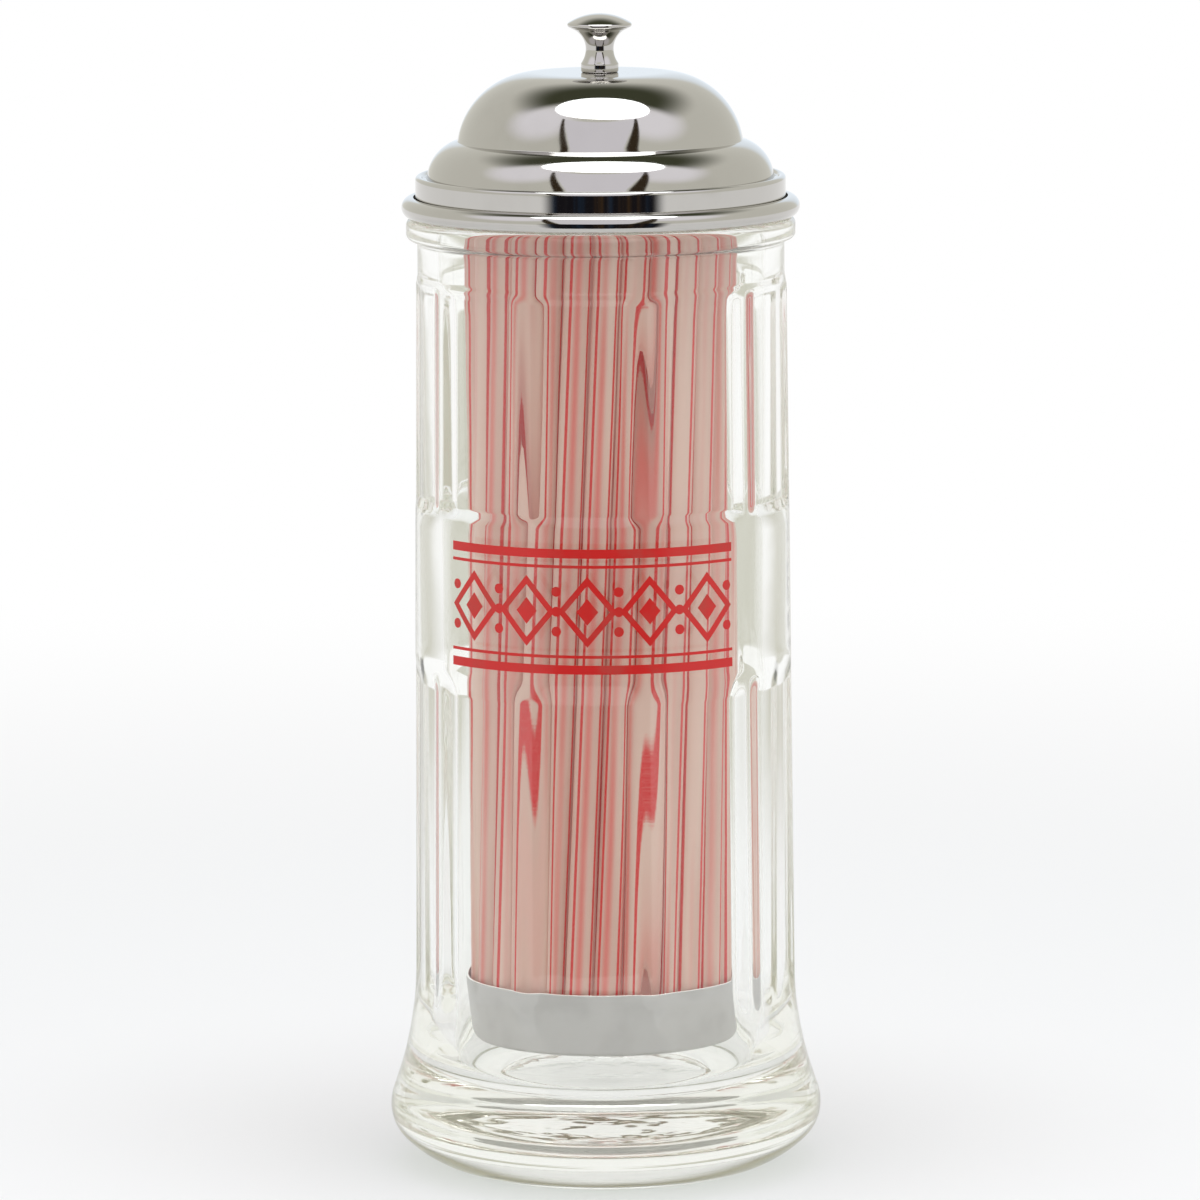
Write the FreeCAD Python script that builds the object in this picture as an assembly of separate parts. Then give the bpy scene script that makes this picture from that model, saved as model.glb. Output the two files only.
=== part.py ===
import FreeCAD, Part
import math
import os

# Straw dispenser: a fluted glass jar, a stepped metal lid with a knob, and a lifting rod that
# carries a shallow cup of straws. Millimetres and degrees. The origin is the middle of the
# jar's foot on the surface that it stands on, and +Z is up.

os.makedirs("parts", exist_ok=True)
Vector = FreeCAD.Vector
UP = Vector(0, 0, 1)

# ---------------------------------------------------------------- driving dimensions: jar
foot_radius = 50.8               # widest part of the foot, a four inch foot
heel_radius = 9.3                # rounding just under the widest part
heel_turn = 45.0                 # where the heel meets the toe, degrees below level
toe_radius = 26.0                # flatter rounding from the heel to the rest ring
ground_off = 0.25                # how much of the toe's curve the rest ring takes away
shoulder_radius = 12.0           # rounding just above the widest part
flare_radius = 80.0              # hollow curve from the foot up to the body
rest_ring_width = 6.0
underside_recess = 2.2
recess_slope_run = 1.6           # how far the recess wall leans inwards

body_bottom_radius = 44.8        # over the ridges, where the flare ends
body_top_radius = 43.3           # over the ridges, just under the neck
neck_height = 15.7               # from the body's top to the lip's ledge
neck_radius = 42.75
neck_step_run = 2.4              # height over which the body eases in to the neck
lip_radius = 45.33
lip_height = 5.0
lip_under_fillet = 1.2
lip_under_round = 1.2
lip_top_round = 1.8
rim_wall = 3.7                   # glass of the mouth, inside the lid
rim_height = 7.2                 # mouth above the lip's ledge

bore_top_radius = 38.2
bore_bottom_radius = 36.9
jar_floor_height = 20.0
floor_corner_radius = 8.0

flute_count = 10
flute_depth = 1.15
ridge_turn = 7.5                 # width of a ridge between flutes, degrees round the jar
upper_flutes_low = 159.3
upper_flutes_drop = 1.2          # the upper flutes run out from this far below the body's top
lower_flutes_high = 115.8
lower_flutes_low = 50.0
top_run_out_angle = 20.0         # slope of a flute's upper end, from the vertical
band_top_run_out_angle = 25.0
band_bottom_run_out_angle = 13.0
foot_run_out_radius = 45.0       # the lower flutes curve out into the flare
flute_cutter_reach = 5.0         # how far the flutes' cutters stand out of the flutes' floors

# ---------------------------------------------------------------- driving dimensions: lid
sheet = 0.6                      # lid metal
lid_height = 33.5                # from the lip's ledge to the flat crown
crown_radius = 14.9              # flat middle, under the knob
dome_arc_radius = 18.5
step_radius = 33.2               # crease between the dome and the lower bulge
bulge_arc_radius = 9.55
bulge_foot_radius = 40.4
band_radius = 43.1
band_height = 9.7                # from the lip's ledge to the band's top edge
band_edge_round = 0.9
band_edge_start = 130.0          # where the rounding starts in the groove, degrees from level
ledge_groove = 0.8               # the ledge lies this far under the band's top edge
ledge_groove_run = 1.85          # from the groove's floor out to the band's face
curl_radius = 2.4                # outward roll of the lid's edge
curl_overhang = 3.25             # how far the roll stands out of the band
curl_end_angle = 100.0           # where the roll's free edge stops, from level

# ---------------------------------------------------------------- driving dimensions: knob
knob_flange_radius = 4.36
knob_flange_round = 0.4
knob_neck_radius = 3.23
knob_neck_height = 5.4           # narrowest place, above the crown
knob_cap_radius = 7.5
knob_cap_height = 11.0           # widest place of the cap, above the crown
knob_height = 13.6
knob_lower_flare = 5.5
knob_upper_flare = 5.0
knob_upper_turn = 70.0           # how far the stem turns out under the cap
knob_cap_edge_round = 0.6
knob_bore_depth = 7.0

# ---------------------------------------------------------------- driving dimensions: carrier
rod_radius = 2.4
rod_end_spare = 1.5              # thread that shows below the lowest nut
nut_flats = 8.0
nut_height = 3.2
lid_washer_radius = 6.5
cup_upper_washer_radius = 5.0    # small, because straws stand all round it
cup_lower_washer_radius = 9.0
washer_thickness = 0.8
cup_radius = 32.8
cup_height = 15.2
cup_wall = 0.5
cup_corner_radius = 1.0
cup_above_jar_floor = 11.0

# ---------------------------------------------------------------- driving dimensions: straws
straw_radius = 3.0
straw_wall = 0.2
straw_length = 197.0             # a standard seven and three quarter inch straw
straws_above_lip = 4.75          # how far upright straws would reach over the lip's ledge
bundle_twist = 17.0              # how far the bundle is turned from bottom to top
outer_ring_count = 28
second_ring_count = 21
third_ring_count = 14
inner_ring_count = 8
ring_pitch = 6.7                 # from one ring of straws to the next
outer_ring_gap = 0.6             # extra room inside the outer ring, which leans out

# ---------------------------------------------------------------- clearances
turning_play = 0.1               # lid metal to the washer under it
rod_running_fit = 0.05           # radial, rod in the lid's hole
washer_fit = 0.1                 # radial, washer on the rod
straw_to_cup = 0.45              # outer straws to the cup's wall
straw_to_floor = 0.45            # straws' ends above the cup's floor

# ---------------------------------------------------------------- derived heights
toe_less_heel = (toe_radius - heel_radius) * math.sin(math.radians(heel_turn))
foot_widest_height = toe_radius - ground_off - toe_less_heel
waist_across = body_bottom_radius + flare_radius - (foot_radius - shoulder_radius)
waist_rise = math.sqrt((flare_radius + shoulder_radius) ** 2 - waist_across ** 2)
waist_height = foot_widest_height + waist_rise
cup_bottom_height = jar_floor_height + cup_above_jar_floor
cup_floor_height = cup_bottom_height + cup_wall
straw_bottom_height = cup_floor_height + straw_to_floor
lip_top_height = straw_bottom_height + straw_length - straws_above_lip
body_top_height = lip_top_height - neck_height
upper_flutes_high = body_top_height - upper_flutes_drop
mouth_height = lip_top_height + rim_height
crown_height = lip_top_height + lid_height
band_top_height = lip_top_height + band_height
ledge_height = band_top_height - ledge_groove
rod_bottom_height = cup_bottom_height - washer_thickness - nut_height - rod_end_spare
rod_top_height = crown_height + knob_bore_depth
outer_ring_radius = cup_radius - cup_wall - straw_to_cup - straw_radius
second_ring_radius = outer_ring_radius - ring_pitch - outer_ring_gap
third_ring_radius = second_ring_radius - ring_pitch
inner_ring_radius = third_ring_radius - ring_pitch


# ---------------------------------------------------------------- drawing helpers
def point(radius, height):
    """A point of a turned piece's outline, in the plane y = 0."""
    return Vector(radius, 0, height)


def on_arc(centre, radius, angle):
    """The point of a circle at an angle, in degrees from +X towards +Z."""
    turn = math.radians(angle)
    return centre + point(radius * math.cos(turn), radius * math.sin(turn))


def arc(centre, radius, start_angle, end_angle):
    """An arc of an outline, drawn from its start angle to its end angle."""
    start = on_arc(centre, radius, start_angle)
    middle = on_arc(centre, radius, (start_angle + end_angle) / 2)
    end = on_arc(centre, radius, end_angle)
    return Part.Arc(start, middle, end).toShape()


def angle_of(centre, place):
    """The angle at which a circle's centre sees a point."""
    return math.degrees(math.atan2(place.z - centre.z, place.x - centre.x))


def line(start, end):
    """A straight edge of an outline."""
    return Part.LineSegment(start, end).toShape()


def far_meeting(centre_a, radius_a, centre_b, radius_b):
    """Where two circles meet, the meeting on the left of the way from a to b."""
    across = centre_b - centre_a
    distance = across.Length
    along = (radius_a ** 2 - radius_b ** 2 + distance ** 2) / (2 * distance)
    aside = math.sqrt(radius_a ** 2 - along ** 2)
    way = across * (1 / distance)
    left = Vector(-way.z, 0, way.x)
    return centre_a + way * along + left * aside


def centre_through(start, end, radius):
    """The centre, on the right of the way from start to end, of a circle through both."""
    across = end - start
    way = across * (1 / across.Length)
    aside = math.sqrt(radius ** 2 - (across.Length / 2) ** 2)
    return (start + end) * 0.5 + Vector(way.z, 0, -way.x) * aside


def outline_face(edges):
    """The flat face inside a closed outline."""
    return Part.Face(Part.Wire(edges))


def turned(edges):
    """The solid that a closed outline makes when it turns about the Z axis."""
    return outline_face(edges).revolve(Vector(0, 0, 0), UP, 360)


def polyline(places):
    """Straight edges through a row of points."""
    return [line(start, end) for start, end in zip(places, places[1:])]


def ring(outer_radius, inner_radius, bottom_height, height):
    """A flat ring or a short tube about the Z axis."""
    body = Part.makeCylinder(outer_radius, height, point(0, bottom_height))
    return body.cut(Part.makeCylinder(inner_radius, height, point(0, bottom_height)))


def hexagon_nut(bottom_height):
    """A plain six-sided nut on the rod."""
    corner_radius = nut_flats / math.sqrt(3)
    corners = []
    for i in range(6):
        turn = math.radians(60 * i)
        corners.append(Vector(corner_radius * math.cos(turn), corner_radius * math.sin(turn), bottom_height))
    body = Part.Face(Part.makePolygon(corners + corners[:1])).extrude(UP * nut_height)
    return body.cut(Part.makeCylinder(rod_radius, nut_height, point(0, bottom_height)))


# ---------------------------------------------------------------- glass jar
def body_radius(height):
    """Radius of the jar over its ridges, which narrows a little from the waist to the neck."""
    share = (height - waist_height) / (body_top_height - waist_height)
    return body_bottom_radius + share * (body_top_radius - body_bottom_radius)


def jar_foot_edges():
    """Underside, rest ring, toe, heel, shoulder and flare, from the axis out and up."""
    heel_centre = point(foot_radius - heel_radius, foot_widest_height)
    heel_end = on_arc(heel_centre, heel_radius, -heel_turn)
    toe_centre = on_arc(heel_end, toe_radius, 180 - heel_turn)
    rest_half = math.sqrt(toe_radius ** 2 - toe_centre.z ** 2)
    rest_outer = point(toe_centre.x + rest_half, 0)
    rest_inner = point(rest_outer.x - rest_ring_width, 0)
    recess_edge = point(rest_inner.x - recess_slope_run, underside_recess)
    recess_middle = point(0, underside_recess)
    edges = polyline([recess_middle, recess_edge, rest_inner, rest_outer])
    edges.append(arc(toe_centre, toe_radius, angle_of(toe_centre, rest_outer), -heel_turn))
    edges.append(arc(heel_centre, heel_radius, -heel_turn, 0))
    shoulder_centre = point(foot_radius - shoulder_radius, foot_widest_height)
    flare_angle = math.degrees(math.asin(waist_rise / (flare_radius + shoulder_radius)))
    edges.append(arc(shoulder_centre, shoulder_radius, 0, flare_angle))
    flare_centre = point(body_bottom_radius + flare_radius, waist_height)
    edges.append(arc(flare_centre, flare_radius, 180 + flare_angle, 180))
    return edges


def jar_lip_edges():
    """Body, neck, lip, ledge and the round mouth, from the waist up and in to the bore."""
    lip_bottom_height = lip_top_height - lip_height
    neck_bottom = point(neck_radius, body_top_height + neck_step_run)
    neck_top = point(neck_radius, lip_bottom_height - lip_under_fillet)
    fillet_centre = point(neck_radius + lip_under_fillet, neck_top.z)
    round_centre = point(lip_radius - lip_under_round, lip_bottom_height + lip_under_round)
    top_centre = point(lip_radius - lip_top_round, lip_top_height - lip_top_round)
    rim_radius = bore_top_radius + rim_wall
    mouth_round = rim_wall / 2
    mouth_centre = point(bore_top_radius + mouth_round, mouth_height - mouth_round)
    edges = polyline([point(body_bottom_radius, waist_height), point(body_top_radius, body_top_height),
                      neck_bottom, neck_top])
    edges.append(arc(fillet_centre, lip_under_fillet, 180, 90))
    edges.append(line(on_arc(fillet_centre, lip_under_fillet, 90),
                      on_arc(round_centre, lip_under_round, -90)))
    edges.append(arc(round_centre, lip_under_round, -90, 0))
    edges.append(line(on_arc(round_centre, lip_under_round, 0), on_arc(top_centre, lip_top_round, 0)))
    edges.append(arc(top_centre, lip_top_round, 0, 90))
    edges += polyline([on_arc(top_centre, lip_top_round, 90), point(rim_radius, lip_top_height),
                       on_arc(mouth_centre, mouth_round, 0)])
    edges.append(arc(mouth_centre, mouth_round, 0, 180))
    return edges, on_arc(mouth_centre, mouth_round, 180)


def jar_blank():
    """The jar before its flutes are pressed in, standing on z = 0."""
    foot_edges = jar_foot_edges()
    lip_edges, bore_mouth = jar_lip_edges()
    corner_centre = point(bore_bottom_radius - floor_corner_radius, jar_floor_height + floor_corner_radius)
    bore_edges = [line(bore_mouth, on_arc(corner_centre, floor_corner_radius, 0))]
    bore_edges.append(arc(corner_centre, floor_corner_radius, 0, -90))
    floor_middle = point(0, jar_floor_height)
    bore_edges.append(line(on_arc(corner_centre, floor_corner_radius, -90), floor_middle))
    closing = line(floor_middle, foot_edges[0].Vertexes[0].Point)
    return turned(foot_edges + lip_edges + bore_edges + [closing])


def flute_cutter(outline, angle):
    """One flute's cutter: its side outline, turned about the jar's axis from ridge to ridge."""
    flute_turn = 360 / flute_count - ridge_turn
    cutter = outline_face(outline).revolve(Vector(0, 0, 0), UP, flute_turn)
    cutter.rotate(Vector(0, 0, 0), UP, angle - flute_turn / 2)
    return cutter


def flute_outlines():
    """Side outlines of an upper and a lower flute's cutter, drawn at the azimuth of +X."""
    run = flute_cutter_reach + flute_depth
    upper_low = point(body_radius(upper_flutes_low) - flute_depth, upper_flutes_low)
    upper_high = point(body_radius(upper_flutes_high) - flute_depth, upper_flutes_high)
    upper_low_out = upper_low + point(run, -run / math.tan(math.radians(band_top_run_out_angle)))
    upper_high_out = upper_high + point(run, run / math.tan(math.radians(top_run_out_angle)))
    upper = polyline([upper_low, upper_high, upper_high_out, upper_low_out, upper_low])
    lower_low = point(body_radius(lower_flutes_low) - flute_depth, lower_flutes_low)
    lower_high = point(body_radius(lower_flutes_high) - flute_depth, lower_flutes_high)
    lower_high_out = lower_high + point(run, run / math.tan(math.radians(band_bottom_run_out_angle)))
    run_out_centre = lower_low + point(foot_run_out_radius, 0)
    run_out_angle = 180 + math.degrees(math.acos(1 - flute_cutter_reach / foot_run_out_radius))
    run_out_end = on_arc(run_out_centre, foot_run_out_radius, run_out_angle)
    lower_low_out = point(lower_high_out.x, run_out_end.z)
    lower = [arc(run_out_centre, foot_run_out_radius, run_out_angle, 180)]
    lower += polyline([lower_low, lower_high, lower_high_out, lower_low_out, run_out_end])
    return upper, lower


def glass_jar():
    """The pressed jar: a turned blank with shallow flutes above and below its plain band."""
    upper, lower = flute_outlines()
    cutters = []
    for i in range(flute_count):
        angle = 90 + i * 360 / flute_count
        cutters.append(flute_cutter(upper, angle))
        cutters.append(flute_cutter(lower, angle))
    return jar_blank().cut(Part.makeCompound(cutters))


# ---------------------------------------------------------------- lid
def lid_shell():
    """Stepped dome of thin metal with an upright band and an outward-rolled edge."""
    inner_band_radius = band_radius - sheet
    dome_centre = point(crown_radius, crown_height - dome_arc_radius)
    step_rise = math.sqrt(dome_arc_radius ** 2 - (step_radius - crown_radius) ** 2)
    step = point(step_radius, dome_centre.z + step_rise)
    bulge_foot = point(bulge_foot_radius, ledge_height)
    bulge_centre = centre_through(step, bulge_foot, bulge_arc_radius)
    hole_radius = rod_radius + rod_running_fit

    edge_centre = point(band_radius - band_edge_round, band_top_height - band_edge_round)
    groove_out = point(band_radius - ledge_groove_run, ledge_height)

    curl_centre = point(band_radius + curl_overhang - curl_radius, lip_top_height + curl_radius)
    inner_curl = curl_radius - sheet
    band_to_curl = curl_centre.x - band_radius
    inner_start = point(band_radius, curl_centre.z - math.sqrt(inner_curl ** 2 - band_to_curl ** 2))
    wall_to_curl = curl_centre.x - inner_band_radius
    outer_start = point(inner_band_radius, curl_centre.z - math.sqrt(curl_radius ** 2 - wall_to_curl ** 2))

    inner_dome = dome_arc_radius - sheet
    inner_bulge = bulge_arc_radius - sheet
    inner_step = far_meeting(dome_centre, inner_dome, bulge_centre, inner_bulge)
    under_ledge = ledge_height - sheet
    inner_foot_run = math.sqrt(inner_bulge ** 2 - (under_ledge - bulge_centre.z) ** 2)
    inner_foot = point(bulge_centre.x + inner_foot_run, under_ledge)

    edges = [line(point(hole_radius, crown_height), point(crown_radius, crown_height))]
    edges.append(arc(dome_centre, dome_arc_radius, 90, angle_of(dome_centre, step)))
    edges.append(arc(bulge_centre, bulge_arc_radius, angle_of(bulge_centre, step),
                     angle_of(bulge_centre, bulge_foot)))
    edges += polyline([bulge_foot, groove_out, on_arc(edge_centre, band_edge_round, band_edge_start)])
    edges.append(arc(edge_centre, band_edge_round, band_edge_start, 0))
    edges.append(line(on_arc(edge_centre, band_edge_round, 0), inner_start))
    edges.append(arc(curl_centre, inner_curl, angle_of(curl_centre, inner_start), curl_end_angle))
    edges.append(line(on_arc(curl_centre, inner_curl, curl_end_angle),
                      on_arc(curl_centre, curl_radius, curl_end_angle)))
    edges.append(arc(curl_centre, curl_radius, curl_end_angle, angle_of(curl_centre, outer_start)))
    edges += polyline([outer_start, point(inner_band_radius, under_ledge), inner_foot])
    edges.append(arc(bulge_centre, inner_bulge, angle_of(bulge_centre, inner_foot),
                     angle_of(bulge_centre, inner_step)))
    edges.append(arc(dome_centre, inner_dome, angle_of(dome_centre, inner_step), 90))
    edges += polyline([point(crown_radius, crown_height - sheet), point(hole_radius, crown_height - sheet),
                       point(hole_radius, crown_height)])
    return turned(edges)


def lid_knob():
    """Mushroom knob with a waisted stem, bored from below for the rod."""
    neck_height = crown_height + knob_neck_height
    widest_height = crown_height + knob_cap_height
    knob_top = crown_height + knob_height
    flange_centre = point(knob_flange_radius - knob_flange_round, crown_height + knob_flange_round)
    lower_centre = point(knob_neck_radius + knob_lower_flare, neck_height)
    lower_run = (lower_centre.x - knob_flange_radius) / knob_lower_flare
    lower_angle = 180 + math.degrees(math.acos(lower_run))
    upper_centre = point(knob_neck_radius + knob_upper_flare, neck_height)
    upper_angle = 180 - knob_upper_turn
    edge_centre = point(knob_cap_radius - knob_cap_edge_round, widest_height)
    cap_rise = knob_top - widest_height
    cap_numerator = edge_centre.x ** 2 + cap_rise ** 2 - knob_cap_edge_round ** 2
    cap_arc_radius = cap_numerator / (2 * (cap_rise - knob_cap_edge_round))
    cap_centre = point(0, knob_top - cap_arc_radius)
    cap_angle = angle_of(cap_centre, edge_centre)

    edges = [line(point(rod_radius, crown_height), on_arc(flange_centre, knob_flange_round, -90))]
    edges.append(arc(flange_centre, knob_flange_round, -90, 0))
    edges.append(line(on_arc(flange_centre, knob_flange_round, 0),
                      on_arc(lower_centre, knob_lower_flare, lower_angle)))
    edges.append(arc(lower_centre, knob_lower_flare, lower_angle, 180))
    edges.append(arc(upper_centre, knob_upper_flare, 180, upper_angle))
    edges.append(line(on_arc(upper_centre, knob_upper_flare, upper_angle),
                      on_arc(edge_centre, knob_cap_edge_round, -90)))
    edges.append(arc(edge_centre, knob_cap_edge_round, -90, cap_angle))
    edges.append(arc(cap_centre, cap_arc_radius, cap_angle, 90))
    edges += polyline([point(0, knob_top), point(0, rod_top_height), point(rod_radius, rod_top_height),
                       point(rod_radius, crown_height)])
    return turned(edges)


# ---------------------------------------------------------------- carrier
def straw_cup():
    """Shallow cup with a flat floor and a small rounding at its lower corner."""
    inner_radius = cup_radius - cup_wall
    rim_height_above = cup_bottom_height + cup_height
    centre = point(cup_radius - cup_corner_radius, cup_bottom_height + cup_corner_radius)
    inner_corner = cup_corner_radius - cup_wall
    edges = [line(point(rod_radius, cup_bottom_height), on_arc(centre, cup_corner_radius, -90))]
    edges.append(arc(centre, cup_corner_radius, -90, 0))
    edges += polyline([on_arc(centre, cup_corner_radius, 0), point(cup_radius, rim_height_above),
                       point(inner_radius, rim_height_above), on_arc(centre, inner_corner, 0)])
    edges.append(arc(centre, inner_corner, 0, -90))
    edges += polyline([on_arc(centre, inner_corner, -90), point(rod_radius, cup_floor_height),
                       point(rod_radius, cup_bottom_height)])
    return turned(edges)


def straw(ring_radius, angle):
    """One straw: a thin tube whose ends lie on the ring, turned by the bundle's twist."""
    half_twist = math.radians(bundle_twist / 2)
    middle = math.radians(angle)
    lean_run = 2 * ring_radius * math.sin(half_twist)
    rise = math.sqrt(straw_length ** 2 - lean_run ** 2)
    start = Vector(ring_radius * math.cos(middle - half_twist), ring_radius * math.sin(middle - half_twist),
                   straw_bottom_height)
    end = Vector(ring_radius * math.cos(middle + half_twist), ring_radius * math.sin(middle + half_twist),
                 straw_bottom_height + rise)
    way = end - start
    tube = Part.makeCylinder(straw_radius, straw_length, start, way)
    return tube.cut(Part.makeCylinder(straw_radius - straw_wall, straw_length, start, way))


def straw_ring(ring_radius, count):
    """Straws evenly spaced round a ring, the first one at the front."""
    return [straw(ring_radius, -90 + i * 360 / count) for i in range(count)]


def pieces():
    """Every piece by its name, each a list of separate solids."""
    washer_hole = rod_radius + washer_fit
    upper_washer_height = crown_height - sheet - turning_play - washer_thickness
    lower_washer_height = cup_bottom_height - washer_thickness
    made = {
        "glass_jar": [glass_jar()],
        "lid_shell": [lid_shell()],
        "lid_knob": [lid_knob()],
        "lid_washer": [ring(lid_washer_radius, washer_hole, upper_washer_height, washer_thickness)],
        "lid_nut": [hexagon_nut(upper_washer_height - nut_height)],
        "lift_rod": [Part.makeCylinder(rod_radius, rod_top_height - rod_bottom_height,
                                       point(0, rod_bottom_height))],
        "straw_cup": [straw_cup()],
        "cup_upper_washer": [ring(cup_upper_washer_radius, washer_hole, cup_floor_height,
                                  washer_thickness)],
        "cup_upper_nut": [hexagon_nut(cup_floor_height + washer_thickness)],
        "cup_lower_washer": [ring(cup_lower_washer_radius, washer_hole, lower_washer_height,
                                  washer_thickness)],
        "cup_lower_nut": [hexagon_nut(lower_washer_height - nut_height)],
        "straws_second_ring": straw_ring(second_ring_radius, second_ring_count),
        "straws_third_ring": straw_ring(third_ring_radius, third_ring_count),
        "straws_inner_ring": straw_ring(inner_ring_radius, inner_ring_count),
    }
    for i, tube in enumerate(straw_ring(outer_ring_radius, outer_ring_count)):
        made[f"straw_{i + 1:02d}"] = [tube]
    return made


for name, solids in pieces().items():
    shape = solids[0] if len(solids) == 1 else Part.makeCompound(solids)
    shape.exportStep(f"parts/{name}.step")
    state = "valid" if shape.isValid() else "NOT VALID"
    print(name, len(solids), "solids", round(shape.Volume), "mm3", state)
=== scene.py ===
import logging
import math
from dataclasses import dataclass
from enum import Enum
from typing import Optional

import bpy
import numpy as np
from mathutils import Matrix, Vector


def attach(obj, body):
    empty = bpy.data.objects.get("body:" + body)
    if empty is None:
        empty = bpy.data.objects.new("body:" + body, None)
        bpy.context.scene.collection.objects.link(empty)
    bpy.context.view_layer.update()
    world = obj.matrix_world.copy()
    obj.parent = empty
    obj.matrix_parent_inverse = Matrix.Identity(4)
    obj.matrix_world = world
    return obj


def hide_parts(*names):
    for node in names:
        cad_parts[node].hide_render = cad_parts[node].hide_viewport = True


# Straw dispenser: the pieces that show, their finishes, and a plain studio. The pieces' sizes are
# in millimetres and degrees, and their meshes are made in metres. Finishes and studio are in
# metres.

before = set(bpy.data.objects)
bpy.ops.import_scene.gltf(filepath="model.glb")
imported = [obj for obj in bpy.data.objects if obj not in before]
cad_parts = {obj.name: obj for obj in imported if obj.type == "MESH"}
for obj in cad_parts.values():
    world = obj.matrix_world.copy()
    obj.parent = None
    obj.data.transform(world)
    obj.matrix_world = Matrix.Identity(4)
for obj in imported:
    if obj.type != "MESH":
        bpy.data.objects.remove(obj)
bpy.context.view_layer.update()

Array = np.ndarray
Socket = bpy.types.NodeSocket
Colour = tuple[float, float, float, float]
Span = tuple[float, float]
Triple = tuple[float, float, float]
METRES = 0.001
WHITE: Colour = (1.0, 1.0, 1.0, 1.0)
SHARP = math.radians(40)  # edges that turn more than this stay sharp
UV_MAP = "UVMap"
LOG = logging.getLogger("straw_dispenser")


class Body(Enum):
    """The frame's bodies that carry new pieces. Each outer straw also has a body of its own."""

    JAR = "jar"
    LID = "lid"
    CARRIER = "carrier"


# ------------------------------------------------------------------------------ outlines
def on_circle(centre: Array, radius: float, angle: float) -> Array:
    """The point of a circle at an angle from +radius towards +height."""
    turn = math.radians(angle)
    return centre + radius * np.array([math.cos(turn), math.sin(turn)])


def angle_seen(centre: Array, place: Array) -> float:
    """The angle at which a circle's centre sees a point."""
    return math.degrees(math.atan2(place[1] - centre[1], place[0] - centre[0]))


class Outline:
    """An outline in the (radius, height) plane, put together from straight runs and arcs."""

    STEP = 0.15  # distance between the points that stand for a run or an arc

    def __init__(self, radius: float, height: float) -> None:
        """Starts the outline at a point."""
        self.parts: list[Array] = [np.array([[radius, height]])]

    def line(self, radius: float, height: float) -> "Outline":
        """A straight run: start + share * (end - start), for even shares.

        Args:
            radius: Radius of the run's end.
            height: Height of the run's end.

        Returns:
            The outline itself, so that runs and arcs can follow each other.
        """
        start = self.parts[-1][-1]
        across = np.array([radius, height]) - start
        count = max(1, math.ceil(np.hypot(*across) / self.STEP))
        share = np.linspace(0, 1, count + 1)[1:, None]
        self.parts.append(start + share * across)
        return self

    def arc(self, centre: Array, radius: float, start: float, end: float) -> "Outline":
        """An arc: centre + radius * (cos, sin), for even angles. A straight run leads to it.

        Args:
            centre: The arc's centre.
            radius: The arc's radius.
            start: Angle of the arc's first point, from +radius towards +height.
            end: Angle of the arc's last point.

        Returns:
            The outline itself.
        """
        first = on_circle(centre, radius, start)
        if np.hypot(*(first - self.parts[-1][-1])) > 1e-6:
            self.line(*first)
        count = max(3, math.ceil(radius * abs(math.radians(end - start)) / self.STEP))
        turn = np.radians(np.linspace(start, end, count + 1)[1:])
        self.parts.append(centre + radius * np.stack([np.cos(turn), np.sin(turn)], -1))
        return self

    def points(self) -> Array:
        """Every point of the outline, in order."""
        return np.concatenate(self.parts)


def softened(points: Array, spread: float, closed: bool) -> Array:
    """Rounds an outline's corners: even points along it, each replaced by a bell-weighted mean.

    Args:
        points: The outline. An open one starts and ends on the axis.
        spread: Standard deviation of the bell, along the outline.
        closed: Whether the last point leads back to the first.

    Returns:
        The rounded outline, evenly spaced.
    """
    if closed:
        points = np.concatenate([points, points[:1]])
    steps = np.hypot(*np.diff(points, axis=0).T)
    keep = np.concatenate([[True], steps > 1e-9])
    points = points[keep]
    length = np.concatenate([[0.0], np.cumsum(np.hypot(*np.diff(points, axis=0).T))])
    count = math.ceil(length[-1] / Outline.STEP)
    even = np.linspace(0, length[-1], count + 1)
    places = np.stack([np.interp(even, length, points[:, k]) for k in (0, 1)], -1)
    step = length[-1] / count
    reach = max(1, math.ceil(3 * spread / step))
    weights = np.exp(-0.5 * (np.arange(-reach, reach + 1) * step / spread) ** 2)
    weights /= weights.sum()
    if closed:
        places = places[:-1]
        padded = np.concatenate([places[-reach:], places, places[:reach]])
    else:
        mirror = np.array([-1.0, 1.0])
        padded = np.concatenate([places[reach:0:-1] * mirror, places,
                                 places[-2:-reach - 2:-1] * mirror])
    return np.stack([np.convolve(padded[:, k], weights, "valid") for k in (0, 1)], -1)


def paced(points: Array, count: int, turn_share: float, closed: bool,
          extra: Optional[Array] = None) -> Array:
    """Rows of a turned piece: more of them where the outline turns, fewer on straight runs.

    The pace of a step is (1 - turn_share) * length + turn_share * turning, each as a share of its
    total, plus the extra weight. The rows stand evenly in the summed pace.

    Args:
        points: The outline, closely and evenly spaced.
        count: How many rows to keep.
        turn_share: How much of the pace the turning takes.
        closed: Whether the last point leads back to the first.
        extra: Further weight of each step.

    Returns:
        The kept rows.
    """
    if closed:
        points = np.concatenate([points, points[:1]])
    steps = np.diff(points, axis=0)
    length = np.hypot(*steps.T)
    turning = np.abs(np.gradient(np.unwrap(np.arctan2(steps[:, 1], steps[:, 0]))))
    weight = (1 - turn_share) * length / length.sum() + turn_share * turning / turning.sum()
    if extra is not None:
        weight = weight + extra
    pace = np.concatenate([[0.0], np.cumsum(weight)])
    wanted = np.linspace(0, pace[-1], count + 1 if closed else count)
    rows = np.stack([np.interp(wanted, pace, points[:, k]) for k in (0, 1)], -1)
    return rows[:-1] if closed else rows


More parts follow.
